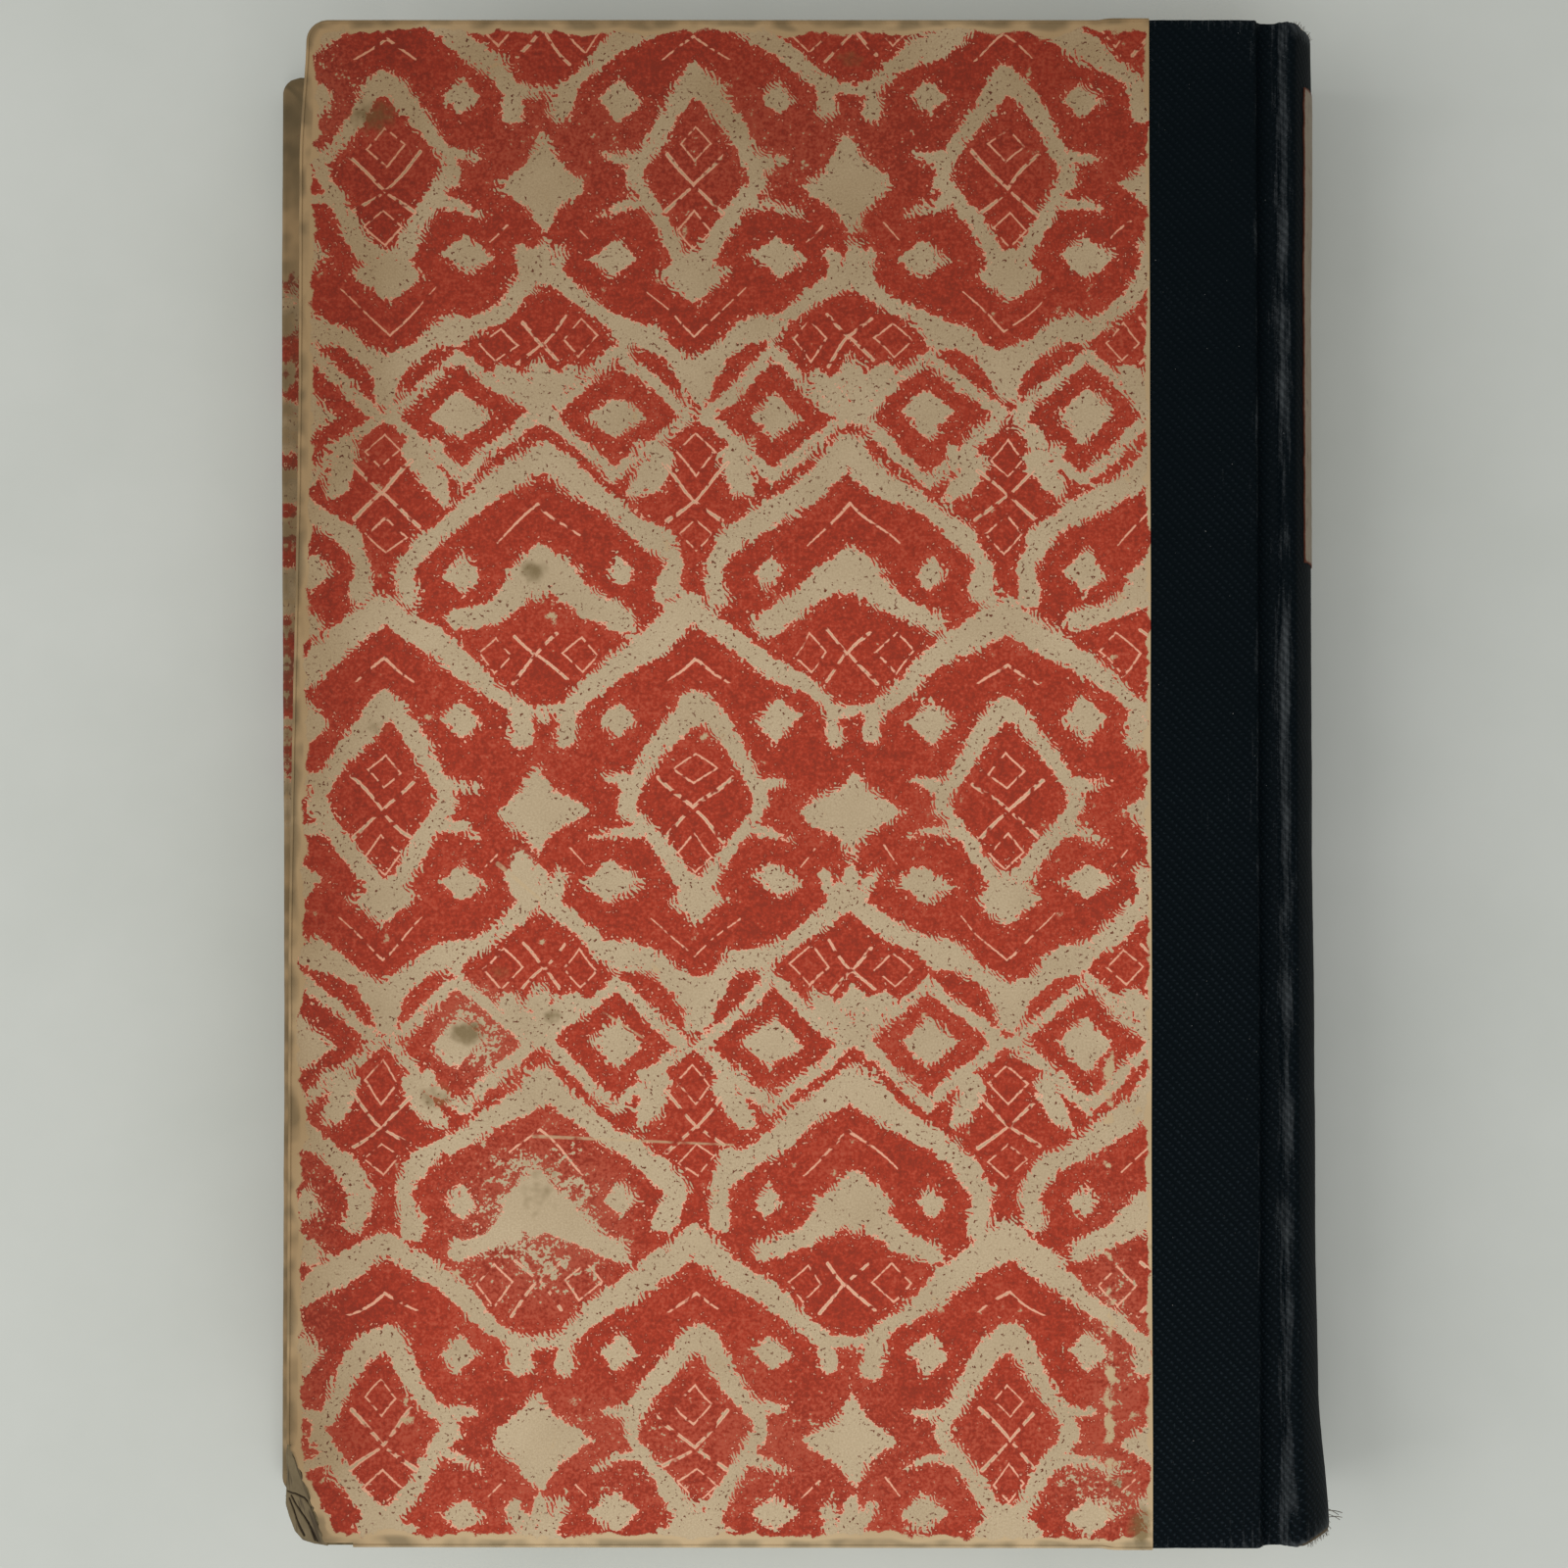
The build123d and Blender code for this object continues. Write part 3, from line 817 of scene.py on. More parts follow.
def cloth_section(body):
    """The cloth's line across the book: place, way out, the way and the depth of its turn-in, and rub."""
    side, at, bump = covers[body], hinge[body], ridge[body]
    reach = math.sqrt(groove_radius**2 + 2 * groove_radius * edge_round)
    corner = at + Vector((-reach, 0, -side * edge_round))
    corner_angle = math.atan2(side * edge_round, reach)
    up = side * math.pi / 2
    flat = []
    for step in range(11):
        along = between(lap_end, reach, step / 11)
        flat.append((Vector((at.x - along, 0, at.z)), Vector((0, 0, side))))
    over_edge = arc_points(corner, edge_round, up, corner_angle, 5)
    groove_start = corner_angle + math.pi * side
    groove_end = angle_to(at, bump) + math.tau * side
    groove = arc_points(at, groove_radius, groove_start, groove_end, 12, inward=True)
    ridge_end = angle_to(spine_centre, bump)
    over_ridge = arc_points(bump, ridge_radius, angle_to(bump, at), ridge_end, 10)
    round_spine = arc_points(spine_centre, spine_radius, ridge_end, spine_tilt, 18)
    section = []
    # Each stretch has its points, the depth of the turn-in, the most rub and where along it that is
    stretches = (
        (flat, far_face + cloth, 0.0, 0.0),
        (over_edge, far_face + cloth, 0.45, 0.5),
        (groove[1:], 0.66, 0.6, 1.1),
        (over_ridge[1:], 0.9, 0.7, 0.15),
        (round_spine[1:], 1.3, 0.25, 0.5),
    )
    for points, depth, rub, crest in stretches:
        count = len(points)
        for step, (place, way) in enumerate(points):
            peak = math.exp(-(((step + 0.5) / count - crest) ** 2) / 0.2)
            under = Vector((0, 0, side)) if points is over_edge else way
            reach_in = depth - side * (at.z - place.z) if points is over_edge else depth
            section.append((place, way, under, reach_in, rub * peak))
    return section


def spine_wear(place, y):
    """How far the old spine stands out beyond its first shape: flared at the tail and slightly uneven."""
    if place.x < min(at.x for at in ridge.values()) - 1.5:
        return 0.0
    from_centre = math.hypot(place.x - spine_centre.x, place.z - spine_centre.z)
    on_spine = ease(spine_radius - 1.4, spine_radius - 0.1, from_centre)
    sideways = max(0.0, (place.x - spine_centre.x) / from_centre) ** 2
    flare = 1.3 * ease(88, 108, -y) + 0.5 * ease(60, 100, -y)
    dent = -0.35 * math.exp(-(((y - 52) / 30) ** 2)) - 0.2 * math.exp(-(((y - 8) / 36) ** 2))
    worn = flare + dent + 0.12 * wander(place.z, y, size=14.0, seed=4.0)
    return on_spine * sideways * max(-deepest_dent, worn)


def turned_edge(depth):
    """How far in from the edge, and how deep, each point lies where the cloth turns in."""
    soft = min(soft_turn, depth / 2)
    points = [(inset, depth) for inset in turn_steps]
    points += [(soft * (1 - math.sin(turn)), depth - soft * (1 - math.cos(turn))) for turn in quarter_turn]
    points += [(soft * (1 - math.cos(turn)), soft * (1 - math.sin(turn))) for turn in quarter_turn]
    return points


def cloth_half(body):
    sheet = Sheet()
    section = cloth_section(body)
    end = board_half + cloth
    rows = []
    run = 0.0
    before = section[0][0]
    for place, way, under, depth, rub in section:
        run += (place - before).length
        before = place
        on_spine = ease(hinge[body].x, hinge[body].x + 6, place.x)
        cut = {}
        for tip in (1, -1):
            ragged = 0.25 * wander(run, tip * 3.0, size=1.3, seed=8.0)
            ragged += 0.15 * wander(run, size=0.4, seed=2.0)
            cut[tip] = end - on_spine * (0.25 + 0.2 * (1 - tip)) - abs(ragged) * (0.35 + on_spine)
        row = []

        def lay(y, inward, tip=0, worn=0.0):
            out = spine_wear(place, y) + 0.02 * wander(run, y, size=2.0)
            spot = place + way * out - under * inward
            edge_rub = ease(3.0, 0.0, cut[1] - abs(y)) * (0.35 + 0.55 * on_spine)
            tail_wear = 0.75 * on_spine * ease(6.5, 0.5, y + end)
            total = max(rub * (0.75 + 0.3 * wander(y, run, size=22.0)), edge_rub, tail_wear) + worn
            row.append(sheet.point(Vector((spot.x, y, spot.z)), (run, y + tip * inward), min(1.2, total)))

        tail_brown = 0.7 * on_spine * ease(spine_centre.z - 6, spine_centre.z + 4, place.z)
        edge = turned_edge(depth)
        for inset, inward in edge:
            lay(inset - cut[-1], inward, -1, tail_brown if inset < 1 else 0.0)
        for step in range(121):
            lay(between(1.0 - cut[-1], cut[1] - 1.0, step / 120), 0.0)
        for inset, inward in reversed(edge):
            lay(cut[1] - inset, inward, 1)
        rows.append(row)
    sheet.grid(rows)
    return sheet.build(f"{body}_cloth", Vector((0, 0, -covers[body])), cloth, cloth_material)


cloth_pieces = {body: cloth_half(body) for body in covers}
print("cloth faces:", [len(piece.data.polygons) for piece in cloth_pieces.values()])

# %% [markdown]
# The cover paper starts on the cloth, steps down where the cloth ends beneath it, and goes round the other
# three edges of the board. It is laid row by row from tail to head. Each row ends where the board's outline
# is: round at the corners, and along a tear at the worn tail corner of the back cover. The rim of the grid
# is then carried round the edge of the board in a few steps and turned in on the far face.

# %% The cover papers
paper_round = 0.55
corner_radius = 2.5
tear_top, tear_bottom = -94.0, -107.6
tear_end = {"high": board_end + paper, "low": 133.9}


def paper_depth(along, y):
    """The depth of the paper's outer face: on the cloth near the spine, lower where it lies on the board."""
    step = ease(lap_end + 0.1, lap_end + 1.4, along)
    return cloth * step - paper + 0.015 * wander(along, y, size=6.0)


def edge_inset(body, y):
    """How far the fore-edge is pushed in at y: the back cover's near the head, the front's near the tail."""
    if body == "front_cover":
        return 0.85 * ease(-80, 50, -y)
    return 1.05 * ease(-30, 60, y) + 0.9 * ease(88, 107, y)


def paper_reach(body, y, half):
    """How far from the hinge line the flat of the paper goes in the row at y."""
    edge = board_end + paper - paper_round - edge_inset(body, y)
    radius = corner_radius - paper_round + (0.4 if body == "back_cover" and y > 0 else 0)
    into_corner = abs(y) - (half - radius)
    if body == "back_cover" and y < tear_top:
        share = (tear_top - y) / (tear_top - tear_bottom)
        bow = 0.35 * math.sin(math.pi * share)
        rag = 0.22 * wander(y, size=1.1, seed=3.0) + 0.12 * wander(y, size=0.35, seed=9.0)
        return between(tear_end["high"], tear_end["low"], share) - bow - 0.3 + rag
    if into_corner > 0:
        edge -= radius - math.sqrt(max(0.0, radius**2 - into_corner**2))
    return edge + 0.03 * wander(y, size=5.0, seed=5.0)


def row_places(half, fine_below, pitch):
    """The rows' places from tail to head, close together at both ends and where the tear is."""
    places = [-half]
    while places[-1] < half:
        y = places[-1]
        step = 0.35 if half - abs(y) < 2.5 or y < fine_below else pitch
        places.append(min(half, y + step))
    return places


def cover_paper(body):
    sheet = Sheet()
    half = board_half + paper - paper_round
    torn = body == "back_cover"
    pitch = 0.9 if torn else 1.0
    ys = row_places(half, tear_top + 1 if torn else -half, pitch)
    columns = [0.0, 1.2, 2.4, 3.6, 4.8, 5.4, 5.8, 6.2, 6.6, 7.0, 7.6, 9.0]
    rows = []
    for y in ys:
        reach = paper_reach(body, y, half)
        start = paper_start + 0.06 * wander(y, size=30.0, seed=1.0)
        steps = round((board_width - cloth_shown) / pitch)
        rest = [between(columns[-1], reach - start, (step + 1) / steps) for step in range(steps)]
        row = []
        for off in columns + rest:
            along = start + off
            lift = 0.17 * ease(lap_end + 1, lap_end - 1, along) * ease(half - 2.5, half, abs(y))
            slope = (1 if y > 0 else -1) * lift
            edge_near = min(half - abs(y), reach - along)
            edge_rub = 0.95 * ease(2.3, 0.0, edge_near + 0.5 * wander(along, y, size=5.0, seed=6.0))
            start_rub = 0.62 * ease(1.3, 0.2, off) + 0.1
            step_rub = 0.42 * ease(1.6, 0.2, abs(along - lap_end)) * ease(-20, -40, y)
            place = on_cover(body, along, y + slope, paper_depth(along, y))
            flat = (hinge[body].x - along, y)
            row.append(sheet.point(place, flat, max(edge_rub, start_rub, step_rub)))
        rows.append(row)
    sheet.grid(rows)

    ring = rows[0] + [row[-1] for row in rows[1:-1]] + rows[-1][::-1]
    torn_from = tear_end["low"] - 4.0
    kept = []
    for index in ring:
        place = sheet.points[index]
        kept.append(not (torn and place.y < tear_top and hinge[body].x - place.x > torn_from))
    loops = wrap_rim(sheet, body, ring, half)
    for first, second in zip(loops, loops[1:]):
        for a, b, c, d, whole_a, whole_b in zip(first, first[1:], second[1:], second, kept, kept[1:]):
            corners = tuple(dict.fromkeys((a, b, c, d)))
            if whole_a and whole_b and len(corners) > 2:
                sheet.faces.append(corners)
    outside = Vector((0, 0, covers[body]))
    piece = sheet.build(f"{body}_printed_paper", outside, paper, cover_paper_material)
    lay_print(piece)
    return piece


def wrap_rim(sheet, body, ring, half):
    """Carries the rim of the paper round the board's edge, as rows of points that follow the rim."""
    deep = board_thickness + 2 * paper
    steps = [(math.sin(turn) * paper_round, (1 - math.cos(turn)) * paper_round) for turn in quarter_turn[1:]]
    steps += [(paper_round, deep * 0.35), (paper_round, deep * 0.65)]
    for turn in quarter_turn:
        steps.append((paper_round * math.cos(turn), deep - paper_round * (1 - math.sin(turn))))
    ways = []
    for number, index in enumerate(ring):
        before = sheet.points[ring[max(0, number - 1)]]
        after = sheet.points[ring[min(len(ring) - 1, number + 1)]]
        run = after - before
        ways.append(Vector((run.y, -run.x, 0)).normalized())
    sign = 1 if ways[len(ring) // 2].x < 0 else -1
    loops = [ring]
    gone = 0.0
    last = (0.0, 0.0)
    for out, down in steps:
        gone += math.hypot(out - last[0], down - last[1])
        last = (out, down)
        loop = []
        for index, way in zip(ring, ways):
            place = sheet.points[index]
            flat = sheet.flat[index]
            way = way * sign
            on_cloth = ease(lap_end + 0.6, lap_end - 0.6, hinge[body].x - place.x)
            spot = place + way * out - Vector((0, 0, covers[body] * down * (1 + 0.17 * on_cloth)))
            rub = 0.9 if down < 0.9 or down > deep - 0.9 else 0.62
            loop.append(sheet.point(spot, (flat[0] + way.x * gone, flat[1] + way.y * gone), rub))
        loops.append(loop)
    inner = []
    far_reach = board_end - turn_in
    for index, outer in zip(ring, loops[-1]):
        place = sheet.points[index]
        low = sheet.points[outer]
        along = min(hinge[body].x - place.x, far_reach)
        y = max(-(half - turn_in), min(half - turn_in, place.y))
        spot = Vector((hinge[body].x - along, y, low.z))
        inner.append(sheet.point(spot, (spot.x, spot.y), 0.1))
    loops.append(inner)
    return loops


paper_pieces = {body: cover_paper(body) for body in covers}
print("paper faces:", [len(piece.data.polygons) for piece in paper_pieces.values()])

# %% [markdown]
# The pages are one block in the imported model. Here each leaf shows: the block is built as rings of points,
# one ring for each leaf's edge and one, set back, for the gap after it. A ring goes up the fore-edge, along
# the head, down the spine and back along the tail. Leaves slip a little against each other, so each is set
# back by its own small amount, and every eighth gap, between two folded sections, is deeper.

# %% The leaves of the pages
leaf_count, leaves_in_section = 88, 8
fore_edge_steps, along_steps = 44, 22
leaf_share, gap_depth, section_gap_depth = 0.62, 0.3, 0.55
flyleaf_inner = {"front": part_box("front_flyleaf")[1].z / MM, "back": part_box("back_flyleaf")[0].z / MM}
fore_edge_square, hollow = 3.5, 4.0
mull_thickness, joint_clearance = 0.3, 0.3
shoulder_gap = joint_gap + mull_thickness + joint_clearance


def shoulder(body):
    """Where the flat side of the pages ends, and where their shoulder meets the rounded backs."""
    side, at = covers[body], hinge[body]
    flat_z = flyleaf_inner[body.split("_")[0]]
    slope = side * math.pi / 4
    touch = turned(at, shoulder_gap, slope - side * math.pi / 2)
    up = Vector((math.cos(slope), 0, math.sin(slope)))
    foot = touch + up * ((flat_z - touch.z) / up.z)
    away = touch - spine_centre
    along = away.dot(up)
    tip = touch + up * (math.sqrt(along**2 - away.length_squared + pages_radius**2) - along)
    return foot, tip


front_foot, front_tip = shoulder("front_cover")
back_foot, back_tip = shoulder("back_cover")
fore_edge_inset = Vector((joint_gap + board_width - fore_edge_square, 0, 0))
front_fore_edge = Vector((hinge["front_cover"].x, 0, front_foot.z)) - fore_edge_inset
back_fore_edge = Vector((hinge["back_cover"].x, 0, back_foot.z)) - fore_edge_inset


def leaf_place(height, along):
    """A point of the section: height goes from lowest leaf to highest, along from fore-edge to back."""
    start = between(front_fore_edge, back_fore_edge, height)
    start = start + Vector((hollow * 4 * height * (1 - height), 0, 0))
    foot = between(front_foot, back_foot, height)
    first, last = angle_to(spine_centre, front_tip), angle_to(spine_centre, back_tip)
    back = turned(spine_centre, pages_radius - 0.05, between(first, last, height))
    if along <= 1:
        return between(start, foot, along)
    return between(foot, back, along - 1)


def leaf_ring(sheet, height, slip, number):
    """One ring of points round a leaf, set back by slip from the edges that show."""
    ring = []
    half = pages_half - slip * 0.6
    run = (leaf_place(height, 1) - leaf_place(height, 0)).length

    def lay(along, y, inset):
        waver = 0.07 * wander(y, number * 0.4, along * 3, size=9.0, seed=3.0)
        place = leaf_place(height, min(2.0, along + (inset + waver) / run))
        ring.append(sheet.point(Vector((place.x, y, place.z)), (place.x, y)))

    for step in range(fore_edge_steps + 1):
        lay(0.0, between(-half, half, step / fore_edge_steps), slip)
    for step in range(1, along_steps):
        lay(2 * step / along_steps, half + 0.05 * wander(step, number * 0.5, size=3.0), 0.0)
    for step in range(fore_edge_steps + 1):
        lay(2.0, between(half, -half, step / fore_edge_steps), 0.0)
    for step in range(1, along_steps):
        lay(2 - 2 * step / along_steps, -half - 0.05 * wander(step, number * 0.5, size=3.0), 0.0)
    ring.append(ring[0])
    return ring


def page_block():
    sheet = Sheet()
    shake = random.Random(11)
    rings = []
    for leaf in range(leaf_count):
        slip = 0.05 + 0.28 * shake.random() ** 2
        low, high = leaf / leaf_count, (leaf + leaf_share) / leaf_count
        rings += [leaf_ring(sheet, low, slip, leaf), leaf_ring(sheet, high, slip, leaf)]
        if leaf < leaf_count - 1:
            deep = section_gap_depth if leaf % leaves_in_section == leaves_in_section - 1 else gap_depth
            gap_low, gap_high = (leaf + 0.66) / leaf_count, (leaf + 0.96) / leaf_count
            rings += [leaf_ring(sheet, gap, slip + deep, leaf) for gap in (gap_low, gap_high)]
    sheet.grid(rings[::-1])
    for ring, side in ((rings[0], -1), (rings[-1], 1)):
        half_way = fore_edge_steps + along_steps
        head = ring[fore_edge_steps : half_way + 1]
        tail = ring[half_way + fore_edge_steps :][::-1]
        sheet.strip(*(head, tail)[:: -side])
    return sheet.build("pages", Vector((0, 0, 0)), 0, edge_material)


pages = page_block()
print("page faces:", len(pages.data.polygons))

# %% [markdown]
# A paper label is glued round the head half of the spine. It is bare, and it follows the dents of the cloth
# below.

# %% The spine label
label_slip, label_width = 2.7, 29.7
label_low, label_high = (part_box("spine_label")[end].y / MM - label_slip for end in (0, 1))
label_half_angle = label_width / spine_radius / 2
label_middle = sum(angle_to(spine_centre, at) for at in ridge.values()) / 2
label_columns, label_rows = 36, 100


def label_finish():
    finish = Finish("spine_label")
    place = finish.flat_place()
    rub = finish.attribute("rub")
    grain = finish.noise(place, 0.4, 3, 0.7)
    patches = finish.noise(place, 6.0, 3)
    colour = finish.mix(grain * 0.5 + patches * 0.5, ink(112, 101, 86), ink(150, 139, 122))
    crackle = finish.noise(finish.vector("MULTIPLY", place, (1.0, 0.25, 1.0)), 0.6, 2).rise(0.6, 0.68)
    colour = finish.mix(crackle * 0.5, colour, ink(72, 56, 42))
    colour = finish.mix((rub + (grain - 0.5) * 0.9).rise(0.5, 0.9), colour, ink(86, 44, 28))
    return finish.surface(colour, 0.8, grain * 0.05 - rub * 0.05, 0.7, Specular_IOR_Level=0.15)


def spine_label():
    sheet = Sheet()
    rows = []
    for across in range(label_columns + 1):
        angle = label_middle + label_half_angle * between(-1, 1, across / label_columns)
        row = []
        for step in range(label_rows + 1):
            y = between(label_low, label_high, step / label_rows)
            edge = min(across, label_columns - across) * label_width / label_columns
            edge = min(edge, y - label_low, label_high - y)
            nibble = 0.22 * wander(across * 0.5, y, size=1.6, seed=7.0) if edge < 0.1 else 0.0
            base = turned(spine_centre, spine_radius, angle)
            out = spine_radius + spine_wear(base, y) + label_thickness
            out += 0.02 * wander(angle * 18, y, size=2.0)
            place = turned(spine_centre, out, angle + nibble / spine_radius)
            flat = (angle * spine_radius, y)
            row.append(sheet.point(Vector((place.x, y + nibble, place.z)), flat, ease(1.0, 0.0, edge)))
        rows.append(row)
    sheet.grid(rows)
    outside = turned(Vector(), 1, label_middle - label_half_angle)
    return sheet.build("label", outside, label_thickness + 0.05, label_finish())


label = spine_label()
print("label faces:", len(label.data.polygons))

# %% [markdown]
# Each end of the backs carries a band: cord with thread wound over it. Geometry Nodes winds it. A line
# along the arc of the backs is resampled into as many points as there are turns of thread, and on each
# point stands one loop of thread, turned to face along the line. The same tree makes both bands. `new_tree`
# gives a tree its named inputs, and `end_tree` ends it in plain geometry with one material.

# %% Head and tail bands of wound thread
band_width, band_height = 2.2, 1.4
thread_radius, turn_pitch = 0.21, 0.44


def thread_finish():
    finish = Finish("band_thread")
    place = finish.object_place()
    fibre = finish.noise(place, 0.25, 3, 0.7)
    dust = finish.noise(place, 3.0, 2)
    colour = finish.mix(fibre, ink(122, 104, 76), ink(178, 162, 130))
    colour = finish.mix(dust.rise(0.5, 0.75) * 0.6, colour, ink(82, 72, 56))
    return finish.surface(colour, 0.85, fibre * 0.05, 0.8, Specular_IOR_Level=0.15)


def new_tree(name, inputs):
    """The bench of a new Geometry Nodes tree, and the sockets that bring its inputs in, by name."""
    tree = bpy.data.node_groups.new(name, "GeometryNodeTree")
    face = tree.interface
    face.new_socket("Geometry", in_out="INPUT", socket_type="NodeSocketGeometry")
    for key, (kind, value) in inputs.items():
        socket = face.new_socket(key, in_out="INPUT", socket_type=f"NodeSocket{kind}")
        socket.default_value = value
    face.new_socket("Material", in_out="INPUT", socket_type="NodeSocketMaterial")
    face.new_socket("Geometry", in_out="OUTPUT", socket_type="NodeSocketGeometry")
    bench = Bench(tree)
    return bench, {socket.name: socket for socket in tree.nodes.new("NodeGroupInput").outputs}


def end_tree(bench, given, geometry):
    real = bench.node("GeometryNodeRealizeInstances", None, {"Geometry": geometry})
    final = bench.node("GeometryNodeSetMaterial", None, {"Geometry": real, "Material": given["Material"]})
    bench.node("NodeGroupOutput", None, {0: final})
    return bench.tree


def circle(bench, resolution, radius):
    inputs = {"Resolution": resolution, "Radius": radius}
    return bench.node("GeometryNodeCurvePrimitiveCircle", None, inputs)


def tube(bench, line, profile):
    return bench.node("GeometryNodeCurveToMesh", None, {"Curve": line, "Profile Curve": profile})


def resampled(bench, line, spacing):
    return bench.node("GeometryNodeResampleCurve", {"mode": "LENGTH"}, {"Curve": line, "Length": spacing})


def facing(bench, way):
    """A rotation that points the Z axis along a vector."""
    return bench.node("FunctionNodeAlignRotationToVector", {"axis": "Z"}, {"Vector": way})


def winding_tree():
    """The node tree that winds loops of thread along a line, with its sizes as inputs."""
    sizes = {"Turn Pitch": 0.5, "Loop Radius": 1.0, "Thread Radius": 0.2}
    bench, given = new_tree("winding", {key: ("Float", size * MM) for key, size in sizes.items()})
    line = resampled(bench, given["Geometry"], given["Turn Pitch"])
    turned_along = facing(bench, bench.node("GeometryNodeInputTangent"))
    loop = circle(bench, 14, given["Loop Radius"])
    thread = tube(bench, loop, circle(bench, 6, given["Thread Radius"]))
    points = {"Points": line, "Instance": thread, "Rotation": turned_along}
    turns = bench.node("GeometryNodeInstanceOnPoints", None, points)
    cord = tube(bench, line, loop)
    joined = bench.tree.nodes.new("GeometryNodeJoinGeometry")
    for part in (cord, turns):
        bench.tree.links.new(part.socket, joined.inputs[0])
    return end_tree(bench, given, joined.outputs[0])


def run_tree(piece, tree, values):
    """Puts a node tree on a piece, sets its named inputs and turns the result into one plain mesh."""
    maker = piece.modifiers.new(tree.name, "NODES")
    maker.node_group = tree
    for item in tree.interface.items_tree:
        if item.item_type == "SOCKET" and item.in_out == "INPUT" and item.name in values:
            maker[item.identifier] = values[item.name]
    mesh = plain_mesh(piece)
    mesh.name = piece.name
    bpy.data.objects.remove(piece)
    return placed(mesh.name, mesh)


def path(name, line):
    """A curve object through a line of points, in millimetres."""
    curve = bpy.data.curves.new(name, "CURVE")
    curve.dimensions = "3D"
    spline = curve.splines.new("POLY")
    spline.points.add(len(line) - 1)
    for point, place in zip(spline.points, line):
        point.co = (*(place * MM), 1.0)
    return placed(name, curve)


winding = winding_tree()
band_material = thread_finish()


def thread_band(name, end):
    first, last = (angle_to(spine_centre, ridge[body]) for body in ("front_cover", "back_cover"))
    loop_radius = band_width / 2 - thread_radius
    y = end * (pages_half + band_height - band_width / 2 - 0.05)
    line = []
    for step in range(61):
        angle = between(first + 0.05, last - 0.05, step / 60)
        place = turned(spine_centre, pages_radius - band_width / 2, angle)
        line.append(Vector((place.x, y, place.z)))
    sizes = {"Turn Pitch": turn_pitch, "Loop Radius": loop_radius, "Thread Radius": thread_radius}
    values = {key: size * MM for key, size in sizes.items()}
    return run_tree(path(name, line), winding, {**values, "Material": band_material})


bands = {"head_band": thread_band("head_band_thread", 1), "tail_band": thread_band("tail_band_thread", -1)}
print("band faces:", [len(band.data.polygons) for band in bands.values()])

# %% [markdown]
# The boards are made here too, because their outlines are worn. The back one's fore-edge has been pushed in
# a little towards the head, the front one's towards the tail, and the back one's tail corner has lost its
# paper and split into layers. Each slab is a pile of rings, one for each layer of pulp. On the bare corner
# lies a fine grid between the tear and the outline, with cracks pressed into it along a few curved lines.
# Painted shade darkens the cracks, the splits and the hollows between the layers.

# %% The worn boards
layer_count = 13
under_corner = 136.5
corner_middle = (133.0, -100.0)
corner_steps, corner_columns, corner_levels = 180, 42, 26
crack_width, leaf_waves = 0.11, 5.5
corner_outline = [
    (138.95, -93.5),
    (139.2, -95.3),
    (139.0, -97.7),
    (139.15, -100.5),
    (139.2, -102.3),
    (138.7, -104.0),
    (137.9, -106.05),
    (136.8, -107.3),
    (135.1, -107.85),
    (133.2, -108.05),
]
crack_lines = [
    [(138.9, -100.4), (137.7, -100.6), (136.4, -101.2), (135.5, -102.3), (134.8, -103.8), (134.0, -105.8)],
    [(134.0, -105.8), (133.4, -107.2)],
    [(138.3, -100.9), (137.5, -102.3), (136.5, -103.7), (135.4, -105.5), (134.6, -107.3)],
    [(138.6, -101.3), (137.9, -103.0), (137.2, -105.2), (136.5, -106.6)],
    [(137.3, -102.6), (135.8, -104.7), (134.9, -107.2)],
    [(137.6, -104.1), (136.4, -106.5)],
    [(138.0, -95.2), (137.0, -97.2), (136.3, -99.2), (135.6, -101.2)],
]
crack_strokes = [((*a, 0.0), (*b, 0.0)) for line in crack_lines for a, b in zip(line, line[1:])]
corner_fan = on_cover("back_cover", 139.6, -91.0, 0.0)


def worn_board_finish():
    """Bare board: grey-brown pulp, polished by handling, with painted shade, almost black, in its cracks and
    splits.
    """
    finish = Finish("worn_board")
    place = finish.object_place()
    crack_and_shade = finish.attribute("rub")
    fibre = finish.noise(finish.vector("MULTIPLY", place, (1.6, 0.5, 1.6)), 0.5, 3, 0.7)
    patches = finish.noise(place, 2.5, 2)
    x, y, _ = finish.parts(place)
    fan = (x - corner_fan.x) / (y - corner_fan.y)
    split_shade = finish.noise(finish.joined(fan * 12, y * 0.12), 1.0, 2, 0.7)
    colour = finish.mix(fibre * 0.4 + patches * 0.5, ink(78, 66, 46), ink(120, 106, 78))
    # Painted shade: dark streaks fan out along the splits, and the cracks go almost black.
    colour = finish.mix(split_shade.rise(0.54, 0.62) * 0.75, colour, ink(52, 42, 28))
    colour = finish.mix((crack_and_shade + (fibre - 0.5) * 0.5).rise(0.25, 0.8), colour, ink(40, 30, 18))
    return finish.surface(colour, 0.75, fibre * 0.05, 0.8, Specular_IOR_Level=0.25)


def along_chain(chain, share):
    """The point at a share of a chain's length."""
    steps = [math.dist(a, b) for a, b in zip(chain, chain[1:])]
    left = share * sum(steps)
    for (a, b), step in zip(zip(chain, chain[1:]), steps):
        if left <= step or b == chain[-1]:
            part = min(1.0, left / step)
            return between(a[0], b[0], part), between(a[1], b[1], part)
        left -= step


